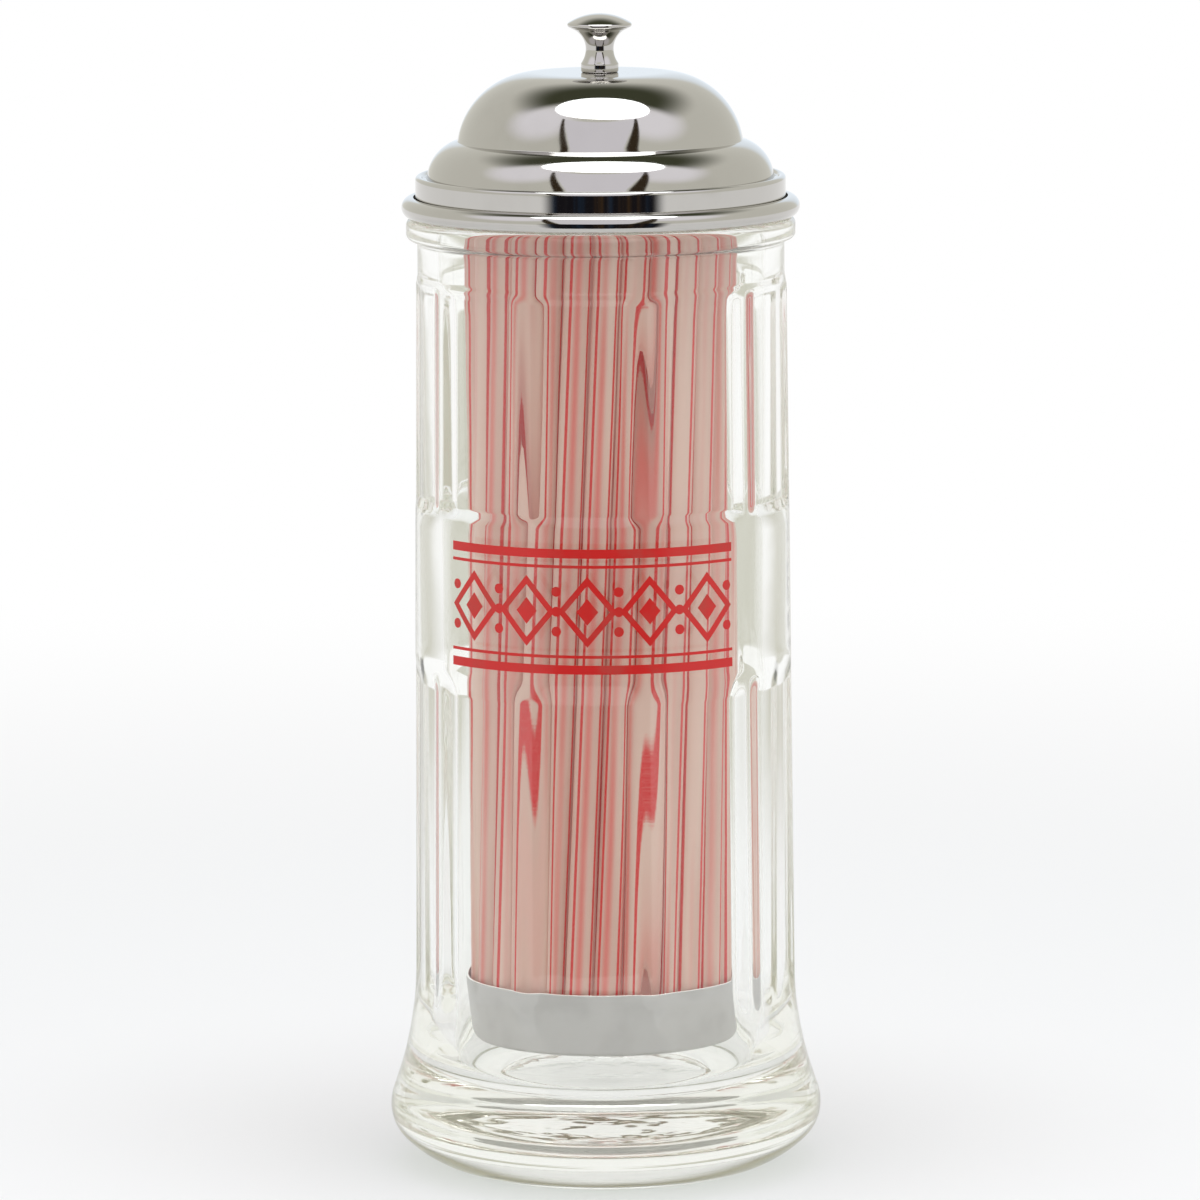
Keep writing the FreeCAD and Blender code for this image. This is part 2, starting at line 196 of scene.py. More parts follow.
# ------------------------------------------------------------------------------ meshes
def grid_faces(rows: int, columns: int, wrap_rows: bool,
               wrap_columns: bool = True) -> tuple[Array, Array]:
    """Four-cornered faces of a grid, which point outwards where rows rise and columns turn left.

    Args:
        rows: How many rows of points the grid has.
        columns: How many points a row has.
        wrap_rows: Whether the last row leads back to the first.
        wrap_columns: Whether the last column leads back to the first.

    Returns:
        Vertex numbers of the faces, and the UV place of each face corner: round, then along.
    """
    down = np.arange(rows if wrap_rows else rows - 1)
    right = np.arange(columns if wrap_columns else columns - 1)
    row, column = np.meshgrid(down, right, indexing="ij")
    below, beside = (row + 1) % rows, (column + 1) % columns
    faces = np.stack([row * columns + column, row * columns + beside,
                      below * columns + beside, below * columns + column], -1)
    corners = [(column, row), (column + 1, row), (column + 1, row + 1), (column, row + 1)]
    places = np.stack([np.stack([u / len(right), v / len(down)], -1) for u, v in corners], -2)
    return faces.reshape(-1, 4), places.reshape(-1, 2)


def make_object(name: str, vertices: Array, faces: list[list[int]],
                places: Array) -> bpy.types.Object:
    """A smooth-shaded object at the origin.

    Args:
        name: The piece's name.
        vertices: Places of the vertices, in millimetres.
        faces: Vertex numbers of each face.
        places: UV place of every face corner, in the faces' order.

    Returns:
        The new object, linked to the scene.
    """
    mesh = bpy.data.meshes.new(name)
    mesh.from_pydata((vertices * METRES).tolist(), [], faces)
    mesh.uv_layers.new(name=UV_MAP).data.foreach_set("uv", places.astype(np.float32).ravel())
    mesh.polygons.foreach_set("use_smooth", np.ones(len(mesh.polygons), bool))
    mesh.update()
    made = bpy.data.objects.new(name, mesh)
    bpy.context.scene.collection.objects.link(made)
    return made


def ring_object(name: str, grid: Array) -> bpy.types.Object:
    """A closed ring or tube from a grid (rows round the wall's section, columns round the axis)."""
    faces, places = grid_faces(*grid.shape[:2], wrap_rows=True)
    return make_object(name, grid.reshape(-1, 3), faces.tolist(), places)


def capped_object(name: str, grid: Array) -> bpy.types.Object:
    """A closed piece whose first and last rows shrink to a point on the axis.

    Args:
        name: The piece's name.
        grid: Points as (rows, columns, 3). The first and last rows lie on the axis.

    Returns:
        The piece, with a fan of triangles at each end.
    """
    middle = grid[1:-1]
    rows, columns = middle.shape[:2]
    faces, places = grid_faces(rows, columns, wrap_rows=False)
    points = np.concatenate([middle.reshape(-1, 3), grid[0, :1], grid[-1, :1]])
    column = np.arange(columns)
    beside = (column + 1) % columns
    top = (rows - 1) * columns
    start_fan = np.stack([np.full(columns, rows * columns), beside, column], -1)
    end_fan = np.stack([top + column, top + beside, np.full(columns, rows * columns + 1)], -1)
    fan_places = [
        np.stack([np.stack([u / columns, np.full(columns, v)], -1) for u, v in corners], 1)
        for corners in (((column + 0.5, 0.0), (column + 1, 0.0), (column, 0.0)),
                        ((column, 1.0), (column + 1, 1.0), (column + 0.5, 1.0)))]
    every_place = np.concatenate([places] + [fan.reshape(-1, 2) for fan in fan_places])
    every_face = faces.tolist() + start_fan.tolist() + end_fan.tolist()
    return make_object(name, points, every_face, every_place)


def turned(rows: Array, columns: int) -> Array:
    """Carries rows round the Z axis: (radius * cos, radius * sin, height) for even azimuths.

    Args:
        rows: The outline's points, as (radius, height).
        columns: How many azimuths.

    Returns:
        The grid of points, by row, azimuth and coordinate.
    """
    azimuth = np.arange(columns) * 2 * np.pi / columns
    radius, height = rows[:, :1], rows[:, 1:]
    return np.stack([radius * np.cos(azimuth), radius * np.sin(azimuth), height + 0 * azimuth], -1)


def dress(piece: bpy.types.Object, finish: bpy.types.Material) -> None:
    """Gives a piece its one finish."""
    piece.data.materials.clear()
    piece.data.materials.append(finish)


def settle(piece: bpy.types.Object, finish: bpy.types.Material, slot: str, body: str,
           *nodes: str) -> None:
    """Dresses a new piece, lets it stand for its CAD nodes and ride on its body.

    Args:
        piece: The new piece, in place.
        finish: Its material.
        slot: Not used.
        body: The body that carries it.
        nodes: The CAD nodes that it stands for, if any.
    """
    dress(piece, finish)
    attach(piece, body)
    if nodes:
        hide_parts(*nodes)
    LOG.info("%s: %d faces on %s", piece.name, len(piece.data.polygons), body)


# ------------------------------------------------------------------------------ node helpers
class Tree:
    """Short ways to add nodes and links to one node tree."""

    def __init__(self, tree: bpy.types.NodeTree) -> None:
        """Empties the tree and works in it."""
        self.tree = tree
        tree.nodes.clear()

    def add(self, kind: str, inputs: Optional[dict] = None, **settings: object) -> bpy.types.Node:
        """Adds a node.

        Args:
            kind: The node's type.
            inputs: What each input gets: a socket to link from, or a value of its own.
            settings: The node's own properties.

        Returns:
            The node.
        """
        node = self.tree.nodes.new(kind)
        for key, value in settings.items():
            setattr(node, key, value)
        for key, value in (inputs or {}).items():
            if isinstance(value, Socket):
                self.tree.links.new(value, node.inputs[key])
            else:
                node.inputs[key].default_value = value
        return node

    def maths(self, operation: str, a: object, b: object = 0.0, c: object = 0.0) -> Socket:
        """The result of a Math node."""
        return self.add("ShaderNodeMath", {0: a, 1: b, 2: c}, operation=operation).outputs[0]

    def apart(self, a: object, b: object) -> Socket:
        """How far two values are apart: |a - b|."""
        return self.maths("ABSOLUTE", self.maths("SUBTRACT", a, b))

    def product(self, a: object, b: object) -> Socket:
        """The product of two values."""
        return self.maths("MULTIPLY", a, b)

    def ramp(self, value: object, low: float, high: float, to_low: float = 0.0,
             to_high: float = 1.0) -> Socket:
        """A smooth step: to_low up to low, to_high from high on, and a smooth climb between.

        Args:
            value: What steps, a socket or a number.
            low: Value at which the step begins.
            high: Value at which it ends.
            to_low: What it gives before.
            to_high: What it gives after.

        Returns:
            The step.
        """
        node = self.add("ShaderNodeMapRange", {"Value": value, "From Min": low, "From Max": high,
                                               "To Min": to_low, "To Max": to_high},
                        interpolation_type="SMOOTHSTEP")
        return node.outputs["Result"]

    def blend(self, share: object, first: object, second: object) -> Socket:
        """A colour between two.

        Args:
            share: How much of the second, from 0 to 1.
            first: The colour at 0, a socket or a value.
            second: The colour at 1, a socket or a value.

        Returns:
            The colour.
        """
        node = self.add("ShaderNodeMix", data_type="RGBA")
        for socket, value in ((node.inputs[0], share), (node.inputs[6], first),
                              (node.inputs[7], second)):
            if isinstance(value, Socket):
                self.tree.links.new(value, socket)
            else:
                socket.default_value = value
        return node.outputs[2]

    def place(self) -> Socket:
        """Object coordinates, which are the frame's own places in metres."""
        return self.add("ShaderNodeTexCoord").outputs["Object"]

    def own_map(self) -> Socket:
        """The piece's own UV map."""
        return self.add("ShaderNodeUVMap", uv_map=UV_MAP).outputs["UV"]

    def parts(self, vector: Socket) -> bpy.types.NodeOutputs:
        """The X, Y and Z of a vector."""
        return self.add("ShaderNodeSeparateXYZ", {"Vector": vector}).outputs

    def off_axis(self, place: Socket) -> Socket:
        """Distance from the jar's axis: the length of (x, y).

        Args:
            place: Object coordinates.

        Returns:
            The distance, in metres.
        """
        level = self.add("ShaderNodeVectorMath", {0: place, 1: (1.0, 1.0, 0.0)},
                         operation="MULTIPLY")
        return self.length(level.outputs[0])

    def length(self, vector: Socket) -> Socket:
        """The length of a vector."""
        return self.add("ShaderNodeVectorMath", {0: vector}, operation="LENGTH").outputs["Value"]

    def noise(self, place: Socket, scale: object, detail: float = 2.0,
              roughness: float = 0.5) -> Socket:
        """Soft noise from 0 to 1."""
        return self.add("ShaderNodeTexNoise", {"Vector": place, "Scale": scale, "Detail": detail,
                                               "Roughness": roughness}).outputs["Fac"]

    def streaks(self, way: Socket, scale: float, detail: float) -> Socket:
        """Soft noise that changes along one value only."""
        return self.add("ShaderNodeTexNoise", {"W": way, "Scale": scale, "Detail": detail},
                        noise_dimensions="1D").outputs["Fac"]

    def stretched(self, place: Socket, scale: object, turn: Triple = (0.0, 0.0, 0.0)) -> Socket:
        """A place turned about the origin and stretched."""
        return self.add("ShaderNodeMapping", {"Vector": place, "Rotation": turn,
                                              "Scale": scale}).outputs[0]

    def relief(self, height: Socket, depth: float) -> Socket:
        """The normal of a surface raised by height * depth, the depth in metres."""
        return self.add("ShaderNodeBump", {"Height": height, "Strength": 1.0,
                                           "Distance": depth}).outputs[0]

    def group(self, shared: bpy.types.NodeTree, **inputs: object) -> bpy.types.Node:
        """Places a shared effect with its own values. Underscores in names stand for spaces."""
        named = {key.replace("_", " "): value for key, value in inputs.items()}
        return self.add("ShaderNodeGroup", named, node_tree=shared)


def new_material(name: str) -> tuple[bpy.types.Material, Tree]:
    """An empty node material.

    Args:
        name: Its name.

    Returns:
        The material, and its tree to work in.
    """
    made = bpy.data.materials.new(name)
    made.use_nodes = True
    return made, Tree(made.node_tree)


def shared_effect(name: str, inputs: dict[str, float],
                  outputs: list[str]) -> tuple[bpy.types.NodeTree, Tree]:
    """An empty shader node group with named float sockets.

    Args:
        name: The group's name.
        inputs: Each input and its default.
        outputs: The outputs' names.

    Returns:
        The group, and its tree to work in.
    """
    group = bpy.data.node_groups.new(name, "ShaderNodeTree")
    for key, value in inputs.items():
        socket = group.interface.new_socket(key, in_out="INPUT", socket_type="NodeSocketFloat")
        socket.default_value = value
    for key in outputs:
        group.interface.new_socket(key, in_out="OUTPUT", socket_type="NodeSocketFloat")
    return group, Tree(group)


def handling_marks() -> bpy.types.NodeTree:
    """Shared effect: faint smudges and hairline scratches, from noise on object coordinates.

    Smudge is soft noise pushed to a few patches. Scratch is the thin crest of a stretched noise.

    Returns:
        The group, with the inputs Patch Size and Hair Size, in patches and hairs per metre.
    """
    group, tree = shared_effect("handling_marks", {"Patch Size": 60.0, "Hair Size": 900.0},
                                ["Smudge", "Scratch"])
    given = tree.add("NodeGroupInput").outputs
    place = tree.place()
    smudge = tree.ramp(tree.noise(place, given["Patch Size"], 4.0, 0.6), 0.45, 0.72)
    along = tree.stretched(place, (1.0, 0.06, 1.0), turn=(0.4, 0.9, 0.3))
    off_crest = tree.apart(tree.noise(along, given["Hair Size"], 1.0), 0.5)
    scratch = tree.ramp(off_crest, 0.0, 0.012, 1.0, 0.0)
    tree.add("NodeGroupOutput", {"Smudge": smudge, "Scratch": scratch})
    return group


def lathe_grain() -> bpy.types.NodeTree:
    """Shared effect: fine lines round the jar's axis, from noise squeezed along Z.

    Returns:
        The group, with the inputs Lines, per metre of height, and Run, per metre across.
    """
    group, tree = shared_effect("lathe_grain", {"Lines": 4000.0, "Run": 40.0}, ["Grain"])
    given = tree.add("NodeGroupInput").outputs
    scale = tree.add("ShaderNodeCombineXYZ", {"X": given["Run"], "Y": given["Run"],
                                              "Z": given["Lines"]})
    squeezed = tree.stretched(tree.place(), scale.outputs[0])
    tree.add("NodeGroupOutput", {"Grain": tree.noise(squeezed, 1.0, 4.0, 0.7)})
    return group


# ------------------------------------------------------------------------------ finishes
@dataclass(frozen=True)
class PressedGlass:
    """Clear soda glass with a slight olive body colour and the soft waves of pressed walls."""

    refraction: float = 1.512
    body_colour: Colour = (0.66, 0.67, 0.50, 1.0)
    body_density: float = 2.5  # per metre
    wave_size: float = 55.0  # waves per metre, roughly
    wave_depth: float = 0.00004  # metres
    smudged_roughness: float = 0.012
    clear_colour: Colour = (0.985, 0.99, 0.975, 1.0)
    straight_colour: Colour = (0.94, 0.95, 0.93, 1.0)  # of unbent light
    # painted shade: dark olive on grazing places, a line round the heel and the foot's rim,
    # standing in for the dark surroundings that the thick glass refracts there
    painted_edge_shade: Colour = (0.13, 0.115, 0.045, 1.0)
    edge_start: float = 0.74  # how far a place turns away before it takes the painted edge shade
    edge_full: float = 0.95  # and when it has all of it
    heel_widening: float = 0.20  # how much sooner it does so on the heel
    heel_top: float = 0.013  # metres
    wall_start: float = 0.0405  # metres from the axis, between the bore and the outside
    wall_fade: float = 0.0008  # metres over which the edge colour begins and ends
    heel_shade_height: float = 0.0034  # metres, the height of the painted shade line round the heel
    heel_shade_reach: Span = (0.0002, 0.0009)  # metres from its middle, where it fades
    heel_shade_strength: float = 0.95
    heel_shade_waves: Span = (0.35, 0.6)  # of the soft noise, between which the painted heel line is weak and whole
    heel_shade_weakest: float = 0.6  # share of its strength
    rest_shade_height: float = 0.0015  # metres, below which the foot's edge takes painted shade
    rest_shade_strength: float = 0.9
    lump_size: float = 105.0  # lumps per metre on the underside, roughly
    lump_depth: float = 0.00045  # metres
    lump_heights: Span = (0.003, 0.004)  # metres, where they end upwards
    lump_radii: Span = (0.0255, 0.0275)  # metres from the axis, where they end

    def edges(self, tree: Tree, place: Socket, wave: Socket) -> Socket:
        """Painted shade, where dark olive edges show outside: grazing places, heel line, foot's
        rim.

        Args:
            tree: The material's tree.
            place: Object coordinates.
            wave: Soft noise, which makes the seam uneven.

        Returns:
            The mask, from 0 to 1.
        """
        # painted shade on places turned away from view, a stand-in for refracted dark surroundings
        facing = tree.add("ShaderNodeLayerWeight", {"Blend": 0.5}).outputs["Facing"]
        body = tree.ramp(tree.off_axis(place), self.wall_start, self.wall_start + self.wall_fade)
        front = tree.maths("SUBTRACT", 1.0, tree.add("ShaderNodeNewGeometry").outputs["Backfacing"])
        height = tree.parts(place)["Z"]
        heel = tree.ramp(height, self.heel_top / 2, self.heel_top, self.heel_widening, 0.0)
        turned_away = tree.maths("ADD", facing, heel)
        grazing = tree.product(tree.ramp(turned_away, self.edge_start, self.edge_full), front)
        # a dark line of painted shade round the heel, standing in for the dark outline that the
        # foot's refraction draws there
        off_heel_shade = tree.apart(height, self.heel_shade_height)
        heel_shade = tree.product(tree.ramp(off_heel_shade, *self.heel_shade_reach, self.heel_shade_strength, 0.0),
                            tree.ramp(wave, *self.heel_shade_waves, self.heel_shade_weakest, 1.0))
        # painted shade along the foot's bottom rim, on the side facing the view
        rest = tree.ramp(height, self.rest_shade_height - self.wall_fade, self.rest_shade_height,
                         self.rest_shade_strength, 0.0)
        return tree.maths("MAXIMUM", tree.product(tree.maths("MAXIMUM", grazing, heel_shade), body),
                          tree.product(rest, front))

    def unevenness(self, tree: Tree, place: Socket, wave: Socket) -> Socket:
        """Height of the glass's unevenness: soft waves all over, and deeper lumps on the underside.

        Args:
            tree: The material's tree.
            place: Object coordinates.
            wave: Soft noise.

        Returns:
            The height, in wave depths.
        """
        lumps = tree.noise(place, self.lump_size, 2.5, 0.45)
        low = tree.ramp(tree.parts(place)["Z"], *self.lump_heights, 1.0, 0.0)
        under = tree.product(low, tree.ramp(tree.off_axis(place), *self.lump_radii, 1.0, 0.0))
        deep = tree.product(under, self.lump_depth / self.wave_depth)
        return tree.maths("MULTIPLY_ADD", lumps, deep, wave)

    def material(self, marks: bpy.types.NodeTree) -> bpy.types.Material:
        """Builds the glass.

        Args:
            marks: The shared handling marks.

        Returns:
            The material. Shadow rays and the soft light on what stands inside go straight through.
        """
        made, tree = new_material("clear_pressed_glass")
        place = tree.place()
        wave = tree.noise(place, self.wave_size)
        uneven = tree.relief(self.unevenness(tree, place, wave), self.wave_depth)
        worn = tree.group(marks, Patch_Size=45.0, Hair_Size=700.0)
        rough = tree.ramp(worn.outputs["Smudge"], 0.0, 1.0, 0.0, self.smudged_roughness)
        # the base colour takes the painted edge shade where the mask is whole
        glass = tree.add("ShaderNodeBsdfPrincipled", {
            "Base Color": tree.blend(self.edges(tree, place, wave), self.clear_colour,
                                     self.painted_edge_shade),
            "Metallic": 0.0, "Roughness": rough,
            "IOR": self.refraction, "Transmission Weight": 1.0, "Normal": uneven})
        clear = tree.add("ShaderNodeBsdfTransparent", {"Color": self.straight_colour})
        path = tree.add("ShaderNodeLightPath").outputs
        shaded = tree.add("ShaderNodeMixShader", {0: path["Is Shadow Ray"], 1: glass.outputs[0],
                                                  2: clear.outputs[0]})
        mixed = tree.add("ShaderNodeMixShader", {0: path["Is Diffuse Ray"], 1: shaded.outputs[0],
                                                 2: clear.outputs[0]})
        depth = tree.add("ShaderNodeVolumeAbsorption", {"Color": self.body_colour,
                                                        "Density": self.body_density})
        tree.add("ShaderNodeOutputMaterial", {"Surface": mixed.outputs[0],
                                              "Volume": depth.outputs[0]})
        return made


@dataclass(frozen=True)
class BrightPlate:
    """Polished plate of the lid and the knob, with faint smudges and hairlines."""

    colour: Colour = (0.54, 0.525, 0.50, 1.0)
    smudged_colour: Colour = (0.49, 0.475, 0.45, 1.0)
    smudge_share: float = 0.6  # of that colour in a full smudge
    roughness: float = 0.045
    smudged_roughness: float = 0.11
    scratch_share: float = -0.25  # a scratch's depth as a share of the grain's
    grain_depth: float = 0.0000012  # metres

    def material(self, marks: bpy.types.NodeTree, grain: bpy.types.NodeTree) -> bpy.types.Material:
        """Builds the plate.

        Args:
            marks: The shared handling marks.
            grain: The shared lathe grain, for faint spinning lines under the polish.

        Returns:
            The material.
        """
        made, tree = new_material("bright_plate")
        worn = tree.group(marks, Patch_Size=38.0, Hair_Size=1100.0)
        lines = tree.group(grain, Lines=5000.0, Run=30.0)
        smudge = tree.product(worn.outputs["Smudge"], self.smudge_share)
        colour = tree.blend(smudge, self.colour, self.smudged_colour)
        rough = tree.ramp(worn.outputs["Smudge"], 0.0, 1.0, self.roughness, self.smudged_roughness)
        height = tree.maths("ADD", tree.product(worn.outputs["Scratch"], self.scratch_share),
                            lines.outputs["Grain"])
        plate = tree.add("ShaderNodeBsdfPrincipled", {
            "Base Color": colour, "Metallic": 1.0, "Roughness": rough,
            "Normal": tree.relief(height, self.grain_depth)})
        tree.add("ShaderNodeOutputMaterial", {"Surface": plate.outputs[0]})
        return made


@dataclass(frozen=True)
class SatinSteel:
    """Satin stainless steel, brushed round the cup, or plain plated steel of the fittings."""

    name: str
    colour: Colour
    roughness: float
    grain_depth: float
    lines: float = 4500.0
    uneven: float = 0.06  # how far the roughness strays
    dulling: float = 0.86  # a smudge's share of the colour
    smudge_share: float = 0.7  # of the dull colour in a full smudge
    smudge_roughness: float = 0.05  # added by a full smudge
    polish_and_highlight_from: float = 1.0  # metres up, above which the metal is smoother and takes the painted rim highlight
    polish_and_highlight_fade: float = 0.0002  # metres over which it becomes so
    polish_share: float = 0.6  # of the roughness that the polish takes away
    # painted highlight: a near-white metal colour along the cup's rim
    painted_rim_highlight: Colour = (0.93, 0.92, 0.90, 1.0)

    def material(self, marks: bpy.types.NodeTree, grain: bpy.types.NodeTree) -> bpy.types.Material:
        """Builds the steel.

        Args:
            marks: The shared handling marks.
            grain: The shared lathe grain.

        Returns:
            The material.
        """
        made, tree = new_material(self.name)
        worn = tree.group(marks, Patch_Size=90.0, Hair_Size=1400.0)
        brushed = tree.group(grain, Lines=self.lines, Run=45.0)
        dull = tuple(self.dulling * part for part in self.colour[:3]) + (1.0,)
        smudge = worn.outputs["Smudge"]
        colour = tree.blend(tree.product(smudge, self.smudge_share), self.colour, dull)
        spread = tree.ramp(brushed.outputs["Grain"], 0.3, 0.7, self.roughness - self.uneven,
                           self.roughness + self.uneven)
        rough = tree.maths("ADD", spread, tree.product(smudge, self.smudge_roughness))
        # the rim's lower roughness is a real polish; its near-white colour is a painted highlight
        polish_and_highlight = tree.ramp(tree.parts(tree.place())["Z"], self.polish_and_highlight_from,
                             self.polish_and_highlight_from + self.polish_and_highlight_fade)
        colour = tree.blend(polish_and_highlight, colour, self.painted_rim_highlight)
        smoother = tree.product(polish_and_highlight, self.polish_share)
        rough = tree.product(rough, tree.maths("SUBTRACT", 1.0, smoother))
        steel = tree.add("ShaderNodeBsdfPrincipled", {
            "Base Color": colour, "Metallic": 1.0, "Roughness": rough,
            "Normal": tree.relief(brushed.outputs["Grain"], self.grain_depth)})
        tree.add("ShaderNodeOutputMaterial", {"Surface": steel.outputs[0]})
        return made


@dataclass(frozen=True)
class StripedStraw:
    """Milky straw plastic with fine printed stripes, their painted show-through and a painted glow.

    A stripe's mask is a thin smooth step about its place round the straw, with an edge that a fine
    noise makes uneven. Between the stripes lie the far wall's stripes as pale painted show-through.
    """

    plastic: Colour = (0.67, 0.47, 0.40, 1.0)
    shade: Colour = (0.57, 0.35, 0.29, 1.0)
    stripe: Colour = (0.66, 0.014, 0.014, 1.0)
    painted_stripe_glow: Colour = (0.30, 0.0, 0.0, 1.0)
    glow: float = 0.18  # painted glow: emission that lightens the dark gaps between straws, though they are no lamp
    roughness: float = 0.38
    refraction: float = 1.49
    ink_depth: float = 0.00002  # metres
    stripe_count: float = 4.0
    stripe_width: float = 0.105  # share of the way from one stripe to the next
    full_ink: float = 0.55  # share of the stripe's width before it fades
    wander: float = 0.05  # how far a stripe and its edges stray, of that way
    band_width: float = 0.30
    band_turn: float = 0.12  # how far the far wall's bands are turned
    show_through_strength: float = 0.58
    cloud_edge: Span = (0.35, 0.65)  # of the slow noise, between which the plastic turns to shade
    ink_edge: Span = (0.2, 0.6)  # of the fine noise, between which the ink is thin and full
    thinnest_ink: float = 0.85
    drift_scale: Triple = (3.0, 2.2, 1.0)
    fine_scale: Triple = (90.0, 700.0, 1.0)

    def material(self) -> bpy.types.Material:
        """Builds the straw's plastic.

        Returns:
            The material, painted by each straw's own UV map.
        """
        made, tree = new_material("striped_straw")
        place = tree.own_map()
        drift = tree.noise(tree.stretched(place, self.drift_scale), 1.0)
        fine = tree.noise(tree.stretched(place, self.fine_scale), 1.0)
        around = tree.product(tree.parts(place)["X"], self.stripe_count)
        wander = tree.maths("MULTIPLY_ADD", drift, self.wander, around)
        off_line = tree.apart(tree.maths("FRACT", wander), 0.5)
        ragged = tree.maths("SUBTRACT", fine, 0.5)
        uneven = tree.maths("MULTIPLY_ADD", ragged, self.wander, off_line)
        line = tree.ramp(uneven, self.stripe_width * self.full_ink, self.stripe_width, 1.0, 0.0)
        # painted show-through: pale bands of the far wall's stripes, as if seen through the milky
        # wall
        far = tree.maths("FRACT", tree.maths("ADD", wander, self.band_turn))
        band = tree.ramp(tree.maths("MINIMUM", far, tree.maths("SUBTRACT", 1.0, far)), 0.0,
                         self.band_width, self.show_through_strength, 0.0)
        cloud = tree.ramp(drift, *self.cloud_edge)
        banded = tree.blend(tree.product(band, cloud), tree.blend(cloud, self.plastic, self.shade),
                            self.stripe)
        inked = tree.product(line, tree.ramp(fine, *self.ink_edge, self.thinnest_ink, 1.0))
        # the emission is a painted glow that lightens the shaded gaps between the straws
        plastic = tree.add("ShaderNodeBsdfPrincipled", {
            "Base Color": tree.blend(inked, banded, self.stripe), "Roughness": self.roughness,
            "IOR": self.refraction, "Normal": tree.relief(line, self.ink_depth),
            "Emission Color": tree.blend(inked, banded, self.painted_stripe_glow),
            "Emission Strength": self.glow})
        tree.add("ShaderNodeOutputMaterial", {"Surface": plastic.outputs[0]})
        return made


@dataclass(frozen=True)
class FiredEnamel:
    """Red enamel printed and fired on the glass, with faint pinholes and worn patches."""

    colour: Colour = (0.62, 0.010, 0.008, 1.0)
    worn_colour: Colour = (0.52, 0.03, 0.02, 1.0)
    roughness: float = 0.28
    worn_roughness: float = 0.42
    refraction: float = 1.5
    scratch_height: float = 0.000004  # metres

    def material(self, marks: bpy.types.NodeTree) -> bpy.types.Material:
        """Builds the enamel.

        Args:
            marks: The shared handling marks.

        Returns:
            The material.
        """
        made, tree = new_material("fired_red_enamel")
        worn = tree.group(marks, Patch_Size=120.0, Hair_Size=1600.0)
        colour = tree.blend(worn.outputs["Smudge"], self.colour, self.worn_colour)
        rough = tree.ramp(worn.outputs["Smudge"], 0.0, 1.0, self.roughness, self.worn_roughness)
        enamel = tree.add("ShaderNodeBsdfPrincipled", {
            "Base Color": colour, "Roughness": rough, "IOR": self.refraction,
            "Normal": tree.relief(worn.outputs["Scratch"], self.scratch_height)})
        tree.add("ShaderNodeOutputMaterial", {"Surface": enamel.outputs[0]})
        return made


# ------------------------------------------------------------------------------ jar
def soft_less(first: Array, second: Array, rounding: float) -> Array:
    """The smaller of two values, with the change-over rounded.

    It is min(a, b) - h * h * k / 4, where h = max(k - |a - b|, 0) / k.

    Args:
        first: One value.
        second: The other.
        rounding: How near the two values come before the rounding starts, k.

    Returns:
        The rounded minimum.
    """
    near = np.maximum(rounding - np.abs(first - second), 0) / rounding
    return np.minimum(first, second) - near * near * rounding / 4


